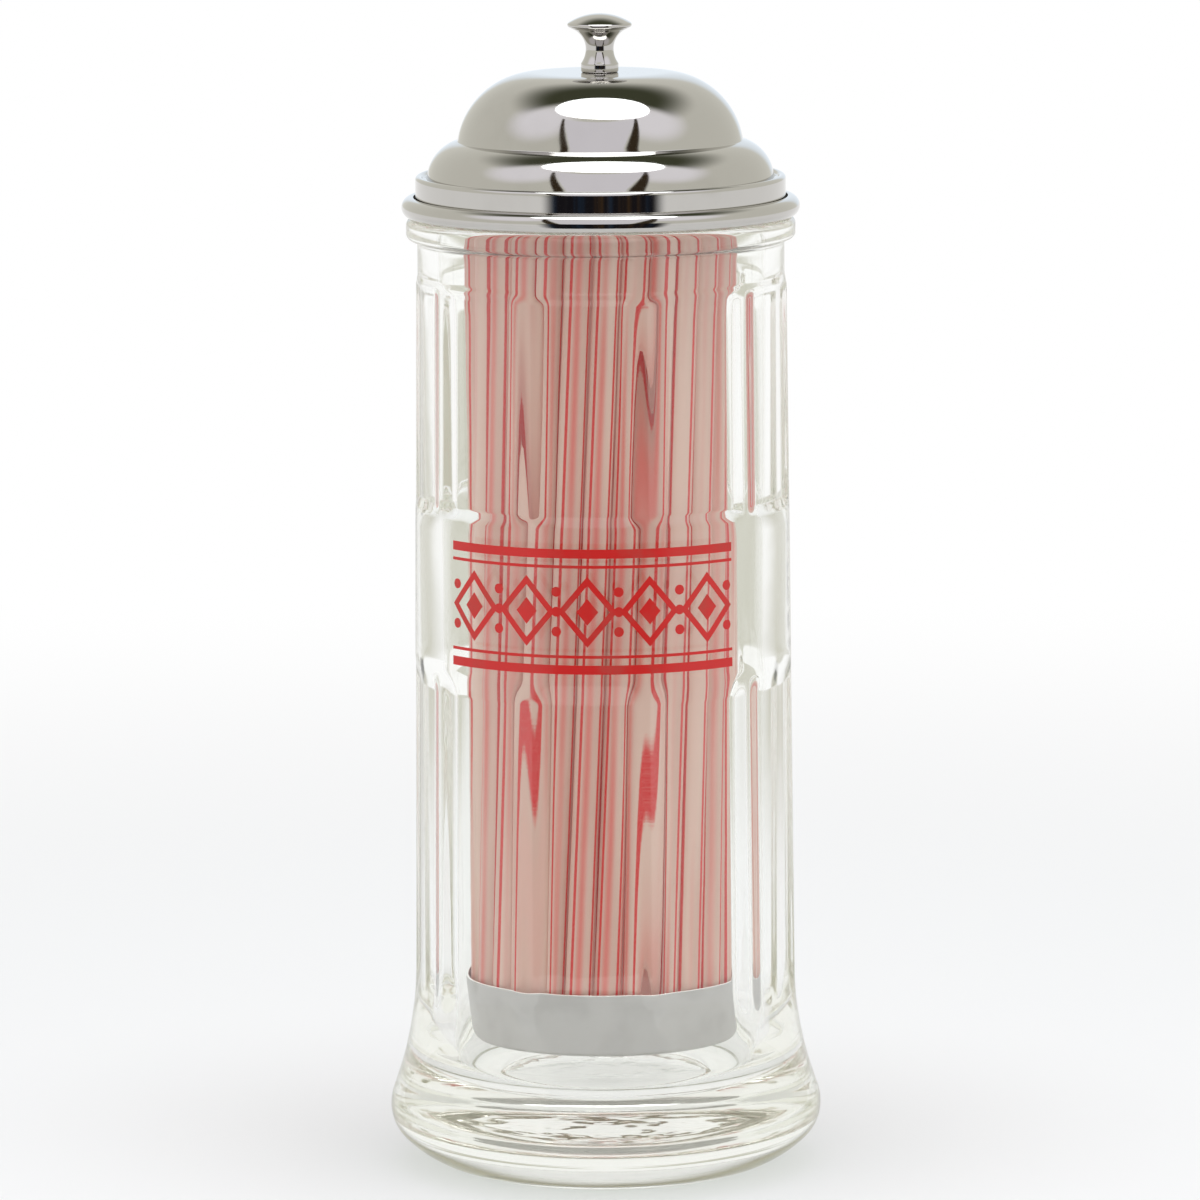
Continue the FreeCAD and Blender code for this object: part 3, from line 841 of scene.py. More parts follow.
@dataclass
class GlassJar:
    """The pressed glass jar: foot, flare, fluted body, neck, lip, mouth and bore in one surface."""

    foot_radius: float = 50.8
    heel_radius: float = 9.3
    heel_turn: float = 45.0
    toe_radius: float = 26.0
    ground_off: float = 0.25
    shoulder_radius: float = 12.0
    flare_radius: float = 80.0
    rest_ring_width: float = 6.0
    underside_recess: float = 2.2
    recess_slope_run: float = 1.6
    body_bottom_radius: float = 44.8
    body_top_radius: float = 43.3
    neck_height: float = 15.7
    neck_radius: float = 42.75
    neck_step_run: float = 2.4
    lip_radius: float = 45.33
    lip_height: float = 5.0
    lip_under_round: float = 1.2
    lip_top_round: float = 1.8
    lip_top_height: float = 224.2
    rim_wall: float = 3.7
    rim_height: float = 7.2
    bore_top_radius: float = 38.2
    bore_bottom_radius: float = 36.9
    floor_height: float = 20.0
    floor_corner_radius: float = 8.0
    flute_count: int = 10
    flute_depth: float = 1.15
    upper_flutes: Span = (159.3, 207.3)  # where the flutes have their full depth
    lower_flutes: Span = (50.0, 115.8)
    upper_slopes: Span = (25.0, 20.0)  # of the flutes' lower and upper ends
    lower_slope: float = 13.0
    foot_run_out_radius: float = 45.0
    ridge_reach: float = 7.5  # degrees from a ridge to a flute's even floor
    end_round: float = 0.4
    edge_spread: float = 0.16
    row_count: int = 276
    plain_rows: int = 197  # of them, the even ones
    turn_share: float = 0.62
    floor_columns: int = 13  # of a flute's even floor
    ridge_columns: int = 18  # of the ridge between two
    flute_ends: tuple[tuple[float, float, int], ...] = (  # from, to, and the rows added there
        (34.0, 52.0, 24), (114.8, 121.8, 20), (156.2, 160.0, 15), (207.4, 214.6, 22))

    @property
    def body_top_height(self) -> float:
        """Height where the body ends and the neck begins."""
        return self.lip_top_height - self.neck_height

    @property
    def foot_widest_height(self) -> float:
        """Height of the foot's widest place."""
        drop = (self.toe_radius - self.heel_radius) * math.sin(math.radians(self.heel_turn))
        return self.toe_radius - self.ground_off - drop

    @property
    def waist_rise(self) -> float:
        """Rise from the foot's widest place to the end of the flare.

        Returns:
            The upright side of the triangle between the two arcs' centres.
        """
        across = (self.body_bottom_radius + self.flare_radius
                  - (self.foot_radius - self.shoulder_radius))
        return math.sqrt((self.flare_radius + self.shoulder_radius) ** 2 - across ** 2)

    def body_radius(self, height: object) -> Array:
        """Radius over the ridges: a straight taper from the waist to the neck.

        Args:
            height: One height, or many.

        Returns:
            The radius at each.
        """
        waist = self.foot_widest_height + self.waist_rise
        share = (height - waist) / (self.body_top_height - waist)
        return self.body_bottom_radius + share * (self.body_top_radius - self.body_bottom_radius)

    def draw_foot(self) -> Outline:
        """The underside, rest ring, toe, heel, shoulder and flare, from the axis out and up.

        Returns:
            The outline so far.
        """
        heel_centre = np.array([self.foot_radius - self.heel_radius, self.foot_widest_height])
        heel_end = on_circle(heel_centre, self.heel_radius, -self.heel_turn)
        toe_centre = on_circle(heel_end, self.toe_radius, 180 - self.heel_turn)
        rest_outer = toe_centre[0] + math.sqrt(self.toe_radius ** 2 - toe_centre[1] ** 2)
        rest_inner = rest_outer - self.rest_ring_width
        outline = Outline(0, self.underside_recess)
        outline.line(rest_inner - self.recess_slope_run, self.underside_recess).line(rest_inner, 0)
        outline.line(rest_outer, 0)
        toe_start = angle_seen(toe_centre, np.array([rest_outer, 0.0]))
        outline.arc(toe_centre, self.toe_radius, toe_start, -self.heel_turn)
        outline.arc(heel_centre, self.heel_radius, -self.heel_turn, 0)
        shoulder_centre = np.array([self.foot_radius - self.shoulder_radius,
                                    self.foot_widest_height])
        both_radii = self.flare_radius + self.shoulder_radius
        flare_turn = math.degrees(math.asin(self.waist_rise / both_radii))
        outline.arc(shoulder_centre, self.shoulder_radius, 0, flare_turn)
        flare_centre = np.array([self.body_bottom_radius + self.flare_radius,
                                 self.foot_widest_height + self.waist_rise])
        return outline.arc(flare_centre, self.flare_radius, 180 + flare_turn, 180)

    def draw_lip(self, outline: Outline) -> Outline:
        """Body, neck, lip, ledge, mouth, bore and floor, back to the axis.

        Args:
            outline: The foot's outline, which this goes on from.

        Returns:
            The whole outline.
        """
        lip_low = self.lip_top_height - self.lip_height
        outline.line(self.body_top_radius, self.body_top_height)
        outline.line(self.neck_radius, self.body_top_height + self.neck_step_run)
        under = self.lip_under_round
        outline.arc(np.array([self.neck_radius + under, lip_low - under]), under, 180, 90)
        outline.arc(np.array([self.lip_radius - under, lip_low + under]), under, -90, 0)
        over = self.lip_top_round
        outline.arc(np.array([self.lip_radius - over, self.lip_top_height - over]), over, 0, 90)
        outline.line(self.bore_top_radius + self.rim_wall, self.lip_top_height)
        half_wall = self.rim_wall / 2
        mouth_centre = np.array([self.bore_top_radius + half_wall,
                                 self.lip_top_height + self.rim_height - half_wall])
        outline.arc(mouth_centre, half_wall, 0, 180)
        corner = self.floor_corner_radius
        floor_corner = np.array([self.bore_bottom_radius - corner, self.floor_height + corner])
        outline.arc(floor_corner, corner, 0, -90)
        return outline.line(0, self.floor_height)

    def flute_floor(self, height: Array) -> Array:
        """Radius of the flutes' floors at each height.

        On a flute it is the body's radius less the flute's depth. Past a straight end it grows by
        the end's slope, and past the foot end it follows the run-out's circle.

        Args:
            height: Heights of the rows.

        Returns:
            The radius, which lies outside the body where there is no flute.
        """
        low, high = self.upper_flutes
        low_slope, high_slope = (math.tan(math.radians(slope)) for slope in self.upper_slopes)
        upper = np.maximum.reduce([
            self.body_radius(height), self.body_radius(high) + (height - high) * high_slope,
            self.body_radius(low) + (low - height) * low_slope])
        low, high = self.lower_flutes
        drop = np.clip(low - height, 0, self.foot_run_out_radius * 0.95)
        run_out = self.foot_run_out_radius - np.sqrt(self.foot_run_out_radius ** 2 - drop ** 2)
        lower = np.maximum.reduce([
            np.where(height < low, 0, self.body_radius(height)),
            self.body_radius(high) + (height - high) * math.tan(math.radians(self.lower_slope)),
            np.where(height < low, self.body_radius(low) + run_out, 0)])
        middle = (self.upper_flutes[0] + self.lower_flutes[1]) / 2
        return np.where(height > middle, upper, lower) - self.flute_depth

    def section_rows(self) -> Array:
        """The rows of the jar's section, closer together where the flutes end.

        Returns:
            Rows as (radius, height), from the underside's middle round to the floor's middle.
        """
        points = softened(self.draw_lip(self.draw_foot()).points(), self.edge_spread, False)
        points[[0, -1], 0] = 0
        steps = np.diff(points, axis=0)
        outside = np.arange(len(steps)) < points[:, 1].argmax()
        length = np.hypot(*steps.T)
        middle = points[:-1, 1]
        extra = np.zeros(len(steps))
        for low, high, rows in self.flute_ends:
            inside = outside & (middle > low) & (middle < high)
            extra += inside * length / (inside * length).sum() * rows / self.plain_rows
        return paced(points, self.row_count, self.turn_share, False, extra)

    def azimuths(self) -> Array:
        """Azimuths of the columns in degrees, close together at the ridges between flutes.

        Returns:
            The azimuths, all the way round. A flute's middle faces the front.
        """
        pitch = 360 / self.flute_count
        edge = pitch / 2 - self.ridge_reach
        floor = np.linspace(-edge, edge, self.floor_columns + 1)[:-1]
        ridge = np.linspace(edge, pitch - edge, self.ridge_columns + 1)[:-1]
        starts = -90 + pitch * np.arange(self.flute_count)
        return (starts[:, None] + np.concatenate([floor, ridge])).ravel()

    def build(self, finish: bpy.types.Material) -> None:
        """Makes the jar. Between ridges each outer point is drawn in to the flute's floor.

        The share of the depth taken at an angle from the nearest ridge is half a cosine wave,
        (1 - cos(pi * angle / reach)) / 2, and all of it past the reach.

        Args:
            finish: The glass.
        """
        rows = self.section_rows()
        azimuth = self.azimuths()
        pitch = 360 / self.flute_count
        off_ridge = pitch / 2 - np.abs((azimuth + 90 + pitch / 2) % pitch - pitch / 2)
        share = (1 - np.cos(np.pi * np.clip(off_ridge / self.ridge_reach, 0, 1))) / 2
        radius, height = rows[:, :1], rows[:, 1:]
        outside = np.arange(len(rows))[:, None] < rows[:, 1].argmax()
        depth = radius - soft_less(radius, self.flute_floor(height), self.end_round)
        radius = radius - np.where(outside, depth, 0) * share
        turn = np.radians(azimuth)
        grid = np.stack([radius * np.cos(turn), radius * np.sin(turn), height + 0 * radius], -1)
        settle(capped_object("glass_jar_pressed", grid), finish, "clear_glass",
               Body.JAR.value, "glass_jar")


@dataclass
class PrintedBand:
    """A generic red border printed on the plain band: diamonds and dots between two stripes."""

    jar: GlassJar
    middle_height: float = 137.6
    half_turn: float = 47.0  # how far the print reaches to each side of the front
    stripe_off: float = 13.4  # from the middle to the thick stripes
    thick: float = 2.1
    thin: float = 0.7
    thin_off: float = 10.4
    diamond_count: int = 5
    diamond_half: Span = (6.9, 8.2)
    diamond_line: float = 1.35
    core_half: Span = (2.5, 3.1)
    dot_radius: float = 1.15
    dot_heights: tuple[float, ...] = (-4.6, 0.0, 4.6)
    end_inset: float = 1.6  # how far the end dots stand in
    stripe_points: int = 97
    ink_start: float = 0.02  # gap under the ink
    ink_top: float = 0.10

    def wrapped(self, flat: Array, lift: float) -> Array:
        """Carries flat points (run, height) onto the jar: the run becomes an azimuth.

        Args:
            flat: Points as (..., 2), the run counted from the front.
            lift: Height over the glass.

        Returns:
            Points as (..., 3).
        """
        height = self.middle_height + flat[..., 1]
        radius = self.jar.body_radius(height)
        azimuth = flat[..., 0] / self.jar.body_radius(self.middle_height) - np.pi / 2
        reach = radius + lift
        return np.stack([reach * np.cos(azimuth), reach * np.sin(azimuth), height], -1)

    def stroke(self, low: Array, high: Array, closed: bool) -> tuple[Array, Array]:
        """A thin raised patch between two borders: back and front of each, joined round.

        Args:
            low: The lower or outer border, from left to right, as (n, 2).
            high: The upper or inner border, as (n, 2).
            closed: Whether the patch goes round to its start.

        Returns:
            Its vertices and its four-cornered faces.
        """
        rows = [self.wrapped(low, self.ink_start), self.wrapped(low, self.ink_top),
                self.wrapped(high, self.ink_top), self.wrapped(high, self.ink_start)]
        count = len(low)
        faces, _ = grid_faces(4, count, wrap_rows=True, wrap_columns=closed)
        if not closed:
            start = np.arange(4) * count
            faces = np.concatenate([faces, [start], [start[::-1] + count - 1]])
        return np.concatenate(rows), faces

    def patches(self) -> list[tuple[Array, Array]]:
        """Every patch of the print.

        Returns:
            Vertices and faces of each patch.
        """
        reach = math.radians(self.half_turn) * float(self.jar.body_radius(self.middle_height))
        run = np.linspace(-reach, reach, self.stripe_points)
        made = []
        for sign in (-1, 1):
            for off, wide in ((self.stripe_off, self.thick), (self.thin_off, self.thin)):
                middle = np.stack([run, np.full(len(run), sign * off)], -1)
                made.append(self.stroke(middle - [0, wide / 2], middle + [0, wide / 2], False))
        pitch = 2 * reach / self.diamond_count
        corners = np.array([[1, 0], [0, 1], [-1, 0], [0, -1], [1, 0]], float)
        share = np.linspace(0, 4, 33)[:-1]
        loop = np.stack([np.interp(share, np.arange(5), corners[:, k]) for k in (0, 1)], -1)
        half = np.array(self.diamond_half)
        inner_half = half - self.diamond_line * np.hypot(*half) / half[::-1]
        tips = np.linspace(-1, 1, 13)
        for i in range(self.diamond_count):
            centre = np.array([-reach + (i + 0.5) * pitch, 0])
            made.append(self.stroke(centre + loop * half, centre + loop * inner_half, True))
            slope = np.maximum(1 - np.abs(tips), 0.02)
            across = tips * self.core_half[0]
            lower = centre + np.stack([across, -slope * self.core_half[1]], -1)
            made.append(self.stroke(lower, lower * [1, -1], False))
        bow = np.maximum(np.sqrt(1 - tips ** 2), 0.05) * self.dot_radius
        for i in range(self.diamond_count + 1):
            inset = {0: self.end_inset, self.diamond_count: -self.end_inset}.get(i, 0.0)
            for height in self.dot_heights:
                if height == 0.0 and inset:
                    continue
                centre = np.array([-reach + i * pitch + inset, height])
                across = np.stack([tips * self.dot_radius, -bow], -1)
                made.append(self.stroke(centre + across, centre + across * [1, -1], False))
        return made

    def build(self, finish: bpy.types.Material) -> None:
        """Makes the print as one piece of many patches.

        Args:
            finish: The enamel.
        """
        vertices, faces, count = [], [], 0
        for patch_vertices, patch_faces in self.patches():
            vertices.append(patch_vertices)
            faces.append(patch_faces + count)
            count += len(patch_vertices)
        all_faces = np.concatenate(faces)
        piece = make_object("printed_border", np.concatenate(vertices), all_faces.tolist(),
                            np.zeros((len(all_faces) * 4, 2)))
        piece.data.set_sharp_from_angle(angle=SHARP)
        settle(piece, finish, "clear_glass", Body.JAR.value)


# ------------------------------------------------------------------------------ lid
def far_meeting(centre_a: Array, radius_a: float, centre_b: Array, radius_b: float) -> Array:
    """Where two circles meet, on the left of the way from a to b.

    Args:
        centre_a: Centre of the first circle.
        radius_a: Its radius.
        centre_b: Centre of the second circle.
        radius_b: Its radius.

    Returns:
        The meeting point.
    """
    across = centre_b - centre_a
    distance = np.hypot(*across)
    along = (radius_a ** 2 - radius_b ** 2 + distance ** 2) / (2 * distance)
    aside = math.sqrt(radius_a ** 2 - along ** 2)
    way = across / distance
    return centre_a + way * along + np.array([-way[1], way[0]]) * aside


def centre_through(start: Array, end: Array, radius: float) -> Array:
    """Centre of a circle through two points: half way between them, and aside to the right.

    Args:
        start: One point.
        end: The other.
        radius: The circle's radius.

    Returns:
        The centre on the right of the way from start to end.
    """
    across = end - start
    way = across / np.hypot(*across)
    aside = math.sqrt(radius ** 2 - np.hypot(*across) ** 2 / 4)
    return (start + end) / 2 + np.array([way[1], -way[0]]) * aside


@dataclass
class Lid:
    """The thin metal lid: domed crown, step, bulge, ledge, upright band and outward-rolled edge."""

    sheet: float = 0.6
    hole_radius: float = 2.45
    foot_height: float = 224.2  # the jar's ledge, which the rolled edge stands on
    height: float = 33.5
    crown_radius: float = 14.9
    dome_arc_radius: float = 18.5
    step_radius: float = 33.2
    bulge_arc_radius: float = 9.55
    bulge_foot_radius: float = 40.4
    band_radius: float = 43.1
    band_height: float = 9.7
    band_edge_round: float = 0.9
    band_edge_start: float = 130.0
    ledge_groove: float = 0.8
    ledge_groove_run: float = 1.85
    curl_radius: float = 2.4
    curl_overhang: float = 3.25
    curl_end_angle: float = 100.0
    edge_spread: float = 0.13
    row_count: int = 250
    turn_share: float = 0.75
    column_count: int = 256

    def section(self) -> Array:
        """The sheet's closed section: out over the top, round the curl, and back underneath.

        Returns:
            The outline, reversed at the end so that its faces point outwards.
        """
        crown = self.foot_height + self.height
        band_top = self.foot_height + self.band_height
        ledge = band_top - self.ledge_groove
        dome = np.array([self.crown_radius, crown - self.dome_arc_radius])
        rise = math.sqrt(self.dome_arc_radius ** 2 - (self.step_radius - self.crown_radius) ** 2)
        step = np.array([self.step_radius, dome[1] + rise])
        bulge_foot = np.array([self.bulge_foot_radius, ledge])
        bulge = centre_through(step, bulge_foot, self.bulge_arc_radius)
        edge = np.array([self.band_radius - self.band_edge_round, band_top - self.band_edge_round])
        curl = np.array([self.band_radius + self.curl_overhang - self.curl_radius,
                         self.foot_height + self.curl_radius])
        inner_curl = self.curl_radius - self.sheet
        inner_band = self.band_radius - self.sheet
        start_drop = math.sqrt(inner_curl ** 2 - (curl[0] - self.band_radius) ** 2)
        inner_start = np.array([self.band_radius, curl[1] - start_drop])
        outer_drop = math.sqrt(self.curl_radius ** 2 - (curl[0] - inner_band) ** 2)
        outer_start = np.array([inner_band, curl[1] - outer_drop])
        inner_dome = self.dome_arc_radius - self.sheet
        inner_bulge = self.bulge_arc_radius - self.sheet
        inner_step = far_meeting(dome, inner_dome, bulge, inner_bulge)
        under_ledge = ledge - self.sheet
        foot_run = math.sqrt(inner_bulge ** 2 - (under_ledge - bulge[1]) ** 2)
        inner_foot = np.array([bulge[0] + foot_run, under_ledge])

        outline = Outline(self.hole_radius, crown).line(self.crown_radius, crown)
        outline.arc(dome, self.dome_arc_radius, 90, angle_seen(dome, step))
        outline.arc(bulge, self.bulge_arc_radius, angle_seen(bulge, step),
                    angle_seen(bulge, bulge_foot))
        outline.line(self.band_radius - self.ledge_groove_run, ledge)
        outline.arc(edge, self.band_edge_round, self.band_edge_start, 0)
        outline.arc(curl, inner_curl, angle_seen(curl, inner_start), self.curl_end_angle)
        outline.arc(curl, self.curl_radius, self.curl_end_angle, angle_seen(curl, outer_start))
        outline.line(inner_band, under_ledge)
        outline.arc(bulge, inner_bulge, angle_seen(bulge, inner_foot),
                    angle_seen(bulge, inner_step))
        outline.arc(dome, inner_dome, angle_seen(dome, inner_step), 90)
        outline.line(self.hole_radius, crown - self.sheet)
        return outline.points()[::-1]

    def build(self, finish: bpy.types.Material) -> None:
        """Makes the lid.

        Args:
            finish: The bright plate.
        """
        section = softened(self.section(), self.edge_spread, True)
        rows = paced(section, self.row_count, self.turn_share, True)
        settle(ring_object("lid_shell_spun", turned(rows, self.column_count)), finish,
               "bright_lid_metal", Body.LID.value, "lid_shell")


@dataclass
class Knob:
    """The mushroom knob with a waisted stem, bored from below for the rod."""

    foot_height: float = 257.7
    rod_radius: float = 2.42
    bore_depth: float = 7.02
    flange_radius: float = 4.36
    flange_round: float = 0.4
    neck_radius: float = 3.23
    neck_height: float = 5.4
    cap_radius: float = 7.5
    cap_height: float = 11.0
    height: float = 13.6
    lower_flare: float = 5.5
    upper_flare: float = 5.0
    upper_turn: float = 70.0
    cap_edge_round: float = 0.6
    edge_spread: float = 0.1
    row_count: int = 110
    turn_share: float = 0.6
    column_count: int = 96

    def section(self) -> Array:
        """The knob's outline, from the bore's end down and out, and up to the cap's middle.

        Returns:
            The outline.
        """
        base = self.foot_height
        neck, widest, top = base + self.neck_height, base + self.cap_height, base + self.height
        flange = np.array([self.flange_radius - self.flange_round, base + self.flange_round])
        lower = np.array([self.neck_radius + self.lower_flare, neck])
        lower_turn = 180 + math.degrees(
            math.acos((lower[0] - self.flange_radius) / self.lower_flare))
        upper = np.array([self.neck_radius + self.upper_flare, neck])
        edge = np.array([self.cap_radius - self.cap_edge_round, widest])
        rise = top - widest
        cap_arc = ((edge[0] ** 2 + rise ** 2 - self.cap_edge_round ** 2)
                   / (2 * (rise - self.cap_edge_round)))
        cap = np.array([0, top - cap_arc])
        cap_turn = angle_seen(cap, edge)
        outline = Outline(0, base + self.bore_depth).line(self.rod_radius, base + self.bore_depth)
        outline.line(self.rod_radius, base)
        outline.arc(flange, self.flange_round, -90, 0)
        outline.arc(lower, self.lower_flare, lower_turn, 180)
        outline.arc(upper, self.upper_flare, 180, 180 - self.upper_turn)
        outline.arc(edge, self.cap_edge_round, -90, cap_turn)
        return outline.arc(cap, cap_arc, cap_turn, 90).points()

    def build(self, finish: bpy.types.Material) -> None:
        """Makes the knob.

        Args:
            finish: The bright plate.
        """
        section = softened(self.section(), self.edge_spread, False)
        rows = paced(section, self.row_count, self.turn_share, False)
        rows[[0, -1], 0] = 0
        settle(capped_object("lid_knob_turned", turned(rows, self.column_count)), finish,
               "bright_lid_metal", Body.CARRIER.value, "lid_knob")


# ------------------------------------------------------------------------------ carrier
@dataclass
class Cup:
    """The shallow metal cup that the straws stand in, with a rounded rim and lower corner."""

    rod_radius: float = 2.42
    radius: float = 32.8
    low: float = 31.0
    height: float = 15.2
    wall: float = 0.5
    corner_radius: float = 1.0
    edge_spread: float = 0.11
    row_count: int = 110
    turn_share: float = 0.6
    column_count: int = 200

    def build(self, finish: bpy.types.Material) -> None:
        """Makes the cup from its closed section, from the rod out, up, over the rim and back.

        Args:
            finish: The satin steel.
        """
        high, inner = self.low + self.height, self.radius - self.wall
        corner = np.array([self.radius - self.corner_radius, self.low + self.corner_radius])
        outline = Outline(self.rod_radius, self.low).arc(corner, self.corner_radius, -90, 0)
        outline.line(self.radius, high).line(inner, high)
        outline.arc(corner, self.corner_radius - self.wall, 0, -90)
        outline.line(self.rod_radius, self.low + self.wall)
        section = softened(outline.points(), self.edge_spread, True)
        rows = paced(section, self.row_count, self.turn_share, True)
        settle(ring_object("straw_cup_spun", turned(rows, self.column_count)), finish,
               "satin_steel", Body.CARRIER.value, "straw_cup")


@dataclass
class StrawBundle:
    """Straws in rings, each leaning a little sideways, so that the whole bundle is twisted."""

    radius: float = 3.0
    wall: float = 0.2
    length: float = 197.0
    foot_height: float = 31.95
    twist: float = 17.0
    outer_ring: float = 28.85
    outer_count: int = 28
    inner_rings: tuple[tuple[str, float, int], ...] = (
        ("second", 21.55, 21), ("third", 14.85, 14), ("inner", 8.15, 8))
    sides: int = 24
    lengthwise_shift: float = 7.3  # of the pattern, for each turn round the straw
    seed: int = 41

    def tube(self, ring_radius: float, azimuth: float) -> Array:
        """One straw as a grid: axis point + radius * (inwards * cos + sideways * sin).

        Args:
            ring_radius: How far from the jar's axis both of its ends stand.
            azimuth: Azimuth of its middle, in degrees.

        Returns:
            The grid: up the outside, then down the inside.
        """
        half = math.radians(self.twist / 2)
        middle = math.radians(azimuth)
        lean = 2 * ring_radius * math.sin(half)
        rise = math.sqrt(self.length ** 2 - lean ** 2)
        start = np.array([math.cos(middle - half), math.sin(middle - half), 0]) * ring_radius
        end = np.array([math.cos(middle + half), math.sin(middle + half), 0]) * ring_radius
        start[2], end[2] = self.foot_height, self.foot_height + rise
        way = (end - start) / self.length
        inwards = np.array([-math.cos(middle), -math.sin(middle), 0])
        sideways = np.cross(way, inwards)
        turn = np.arange(self.sides) * 2 * np.pi / self.sides
        around = np.cos(turn)[:, None] * inwards + np.sin(turn)[:, None] * sideways
        share = np.array([0, 0.2, 0.4, 0.6, 0.8, 1, 1, 0])[:, None, None]
        reach = np.array([self.radius] * 6 + [self.radius - self.wall] * 2)[:, None, None]
        return start + share * (end - start) + reach * around

    def piece(self, name: str, ring_radius: float, azimuths: Array,
              shifts: Array) -> bpy.types.Object:
        """One object of one or more straws. Each straw's UV map is shifted by its own chance turn.

        Args:
            name: The piece's name.
            ring_radius: Radius of the ring that the straws stand on.
            azimuths: Azimuth of each straw's middle.
            shifts: Chance turn of each straw's stripes, as a share of a full turn.

        Returns:
            The piece.
        """
        grids = np.stack([self.tube(ring_radius, azimuth) for azimuth in azimuths])
        rows, columns = grids.shape[1:3]
        faces, places = grid_faces(rows, columns, wrap_rows=True)
        all_faces = faces + (np.arange(len(grids)) * rows * columns)[:, None, None]
        chance = np.stack([shifts, shifts * self.lengthwise_shift], -1)
        made = make_object(name, grids.reshape(-1, 3), all_faces.reshape(-1, 4).tolist(),
                           places + chance[:, None])
        made.data.set_sharp_from_angle(angle=SHARP)
        return made

    def build(self, finish: bpy.types.Material) -> None:
        """Makes the outer straws one by one, and each inner ring as one piece.

        Args:
            finish: The striped plastic.
        """
        chance = np.random.default_rng(self.seed)
        step = 360 / self.outer_count
        for i in range(self.outer_count):
            body = f"straw_{i + 1:02d}"
            azimuth = np.array([-90 + i * step])
            made = self.piece(f"{body}_tube", self.outer_ring, azimuth, chance.random(1))
            settle(made, finish, "straw_plastic", body, body)
        for word, ring_radius, count in self.inner_rings:
            azimuths = -90 + np.arange(count) * 360 / count
            made = self.piece(f"straws_{word}_tubes", ring_radius, azimuths, chance.random(count))
            settle(made, finish, "straw_plastic", Body.CARRIER.value, f"straws_{word}_ring")


@dataclass
class Fittings:
    """The rod, nuts and washers, which keep their solids and get a plain steel finish."""

    nodes: tuple[str, ...] = ("lift_rod", "lid_washer", "lid_nut", "cup_upper_washer",
                              "cup_upper_nut", "cup_lower_washer", "cup_lower_nut")

    def dress(self, finish: bpy.types.Material) -> None:
        """Gives each fitting its finish.

        Args:
            finish: The plain steel.
        """
        for node in self.nodes:
            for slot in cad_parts[node].material_slots:
                slot.material = finish
            LOG.info("%s: plain steel", node)


# ------------------------------------------------------------------------------ studio
@dataclass
class Card:
    """An upright card that only reflections see, bowed round the object."""

    name: str
    distance: float  # metres from the axis
    low_azimuths: Span  # of the lower edge's ends, degrees off the front
    high_azimuths: Span  # of the upper edge's ends
    heights: Span  # metres
    colour: Colour
    soft_ends: float = 0.03  # share of the width over which an end fades out
    streaks: float = 0.0  # how strongly upright streaks change the colour
    warm_streak: Colour = (0.10, 0.055, 0.02, 1.0)
    cold_streak: Colour = (0.02, 0.045, 0.085, 1.0)
    rows: int = 9
    columns: int = 17

    def material(self) -> bpy.types.Material:
        """Builds the card's even light, with streaks across it and faded ends.

        Returns:
            The material.
        """
        made, tree = new_material(self.name)
        across = tree.parts(tree.own_map())["X"]
        noise, warm = tree.streaks(across, 14.0, 2.0), tree.streaks(across, 5.0, 0.0)
        tint = tree.blend(tree.ramp(warm, 0.4, 0.6), self.warm_streak, self.cold_streak)
        share = tree.product(tree.ramp(noise, 0.42, 0.7), self.streaks)
        light = tree.add("ShaderNodeEmission", {"Color": tree.blend(share, self.colour, tint),
                                                "Strength": 1.0})
        end = tree.maths("MINIMUM", across, tree.maths("SUBTRACT", 1.0, across))
        faded = tree.add("ShaderNodeMixShader", {
            0: tree.ramp(end, 0.0, self.soft_ends), 2: light.outputs[0],
            1: tree.add("ShaderNodeBsdfTransparent").outputs[0]})
        tree.add("ShaderNodeOutputMaterial", {"Surface": faded.outputs[0]})
        return made

    def build(self) -> None:
        """Makes the card: points at (distance * sin, -distance * cos, height)."""
        rise = np.linspace(0, 1, self.rows)[:, None]
        low = np.linspace(*self.low_azimuths, self.columns)
        high = np.linspace(*self.high_azimuths, self.columns)
        turn = np.radians(low + rise * (high - low))
        height = self.heights[0] + rise * (self.heights[1] - self.heights[0])
        grid = np.stack([self.distance * np.sin(turn), -self.distance * np.cos(turn),
                         height + 0 * turn], -1)
        faces, places = grid_faces(self.rows, self.columns, wrap_rows=False, wrap_columns=False)
        card = make_object(self.name, grid.reshape(-1, 3) / METRES, faces.tolist(), places)
        dress(card, self.material())
        for ray in ("camera", "diffuse", "transmission", "shadow"):
            setattr(card, f"visible_{ray}", False)


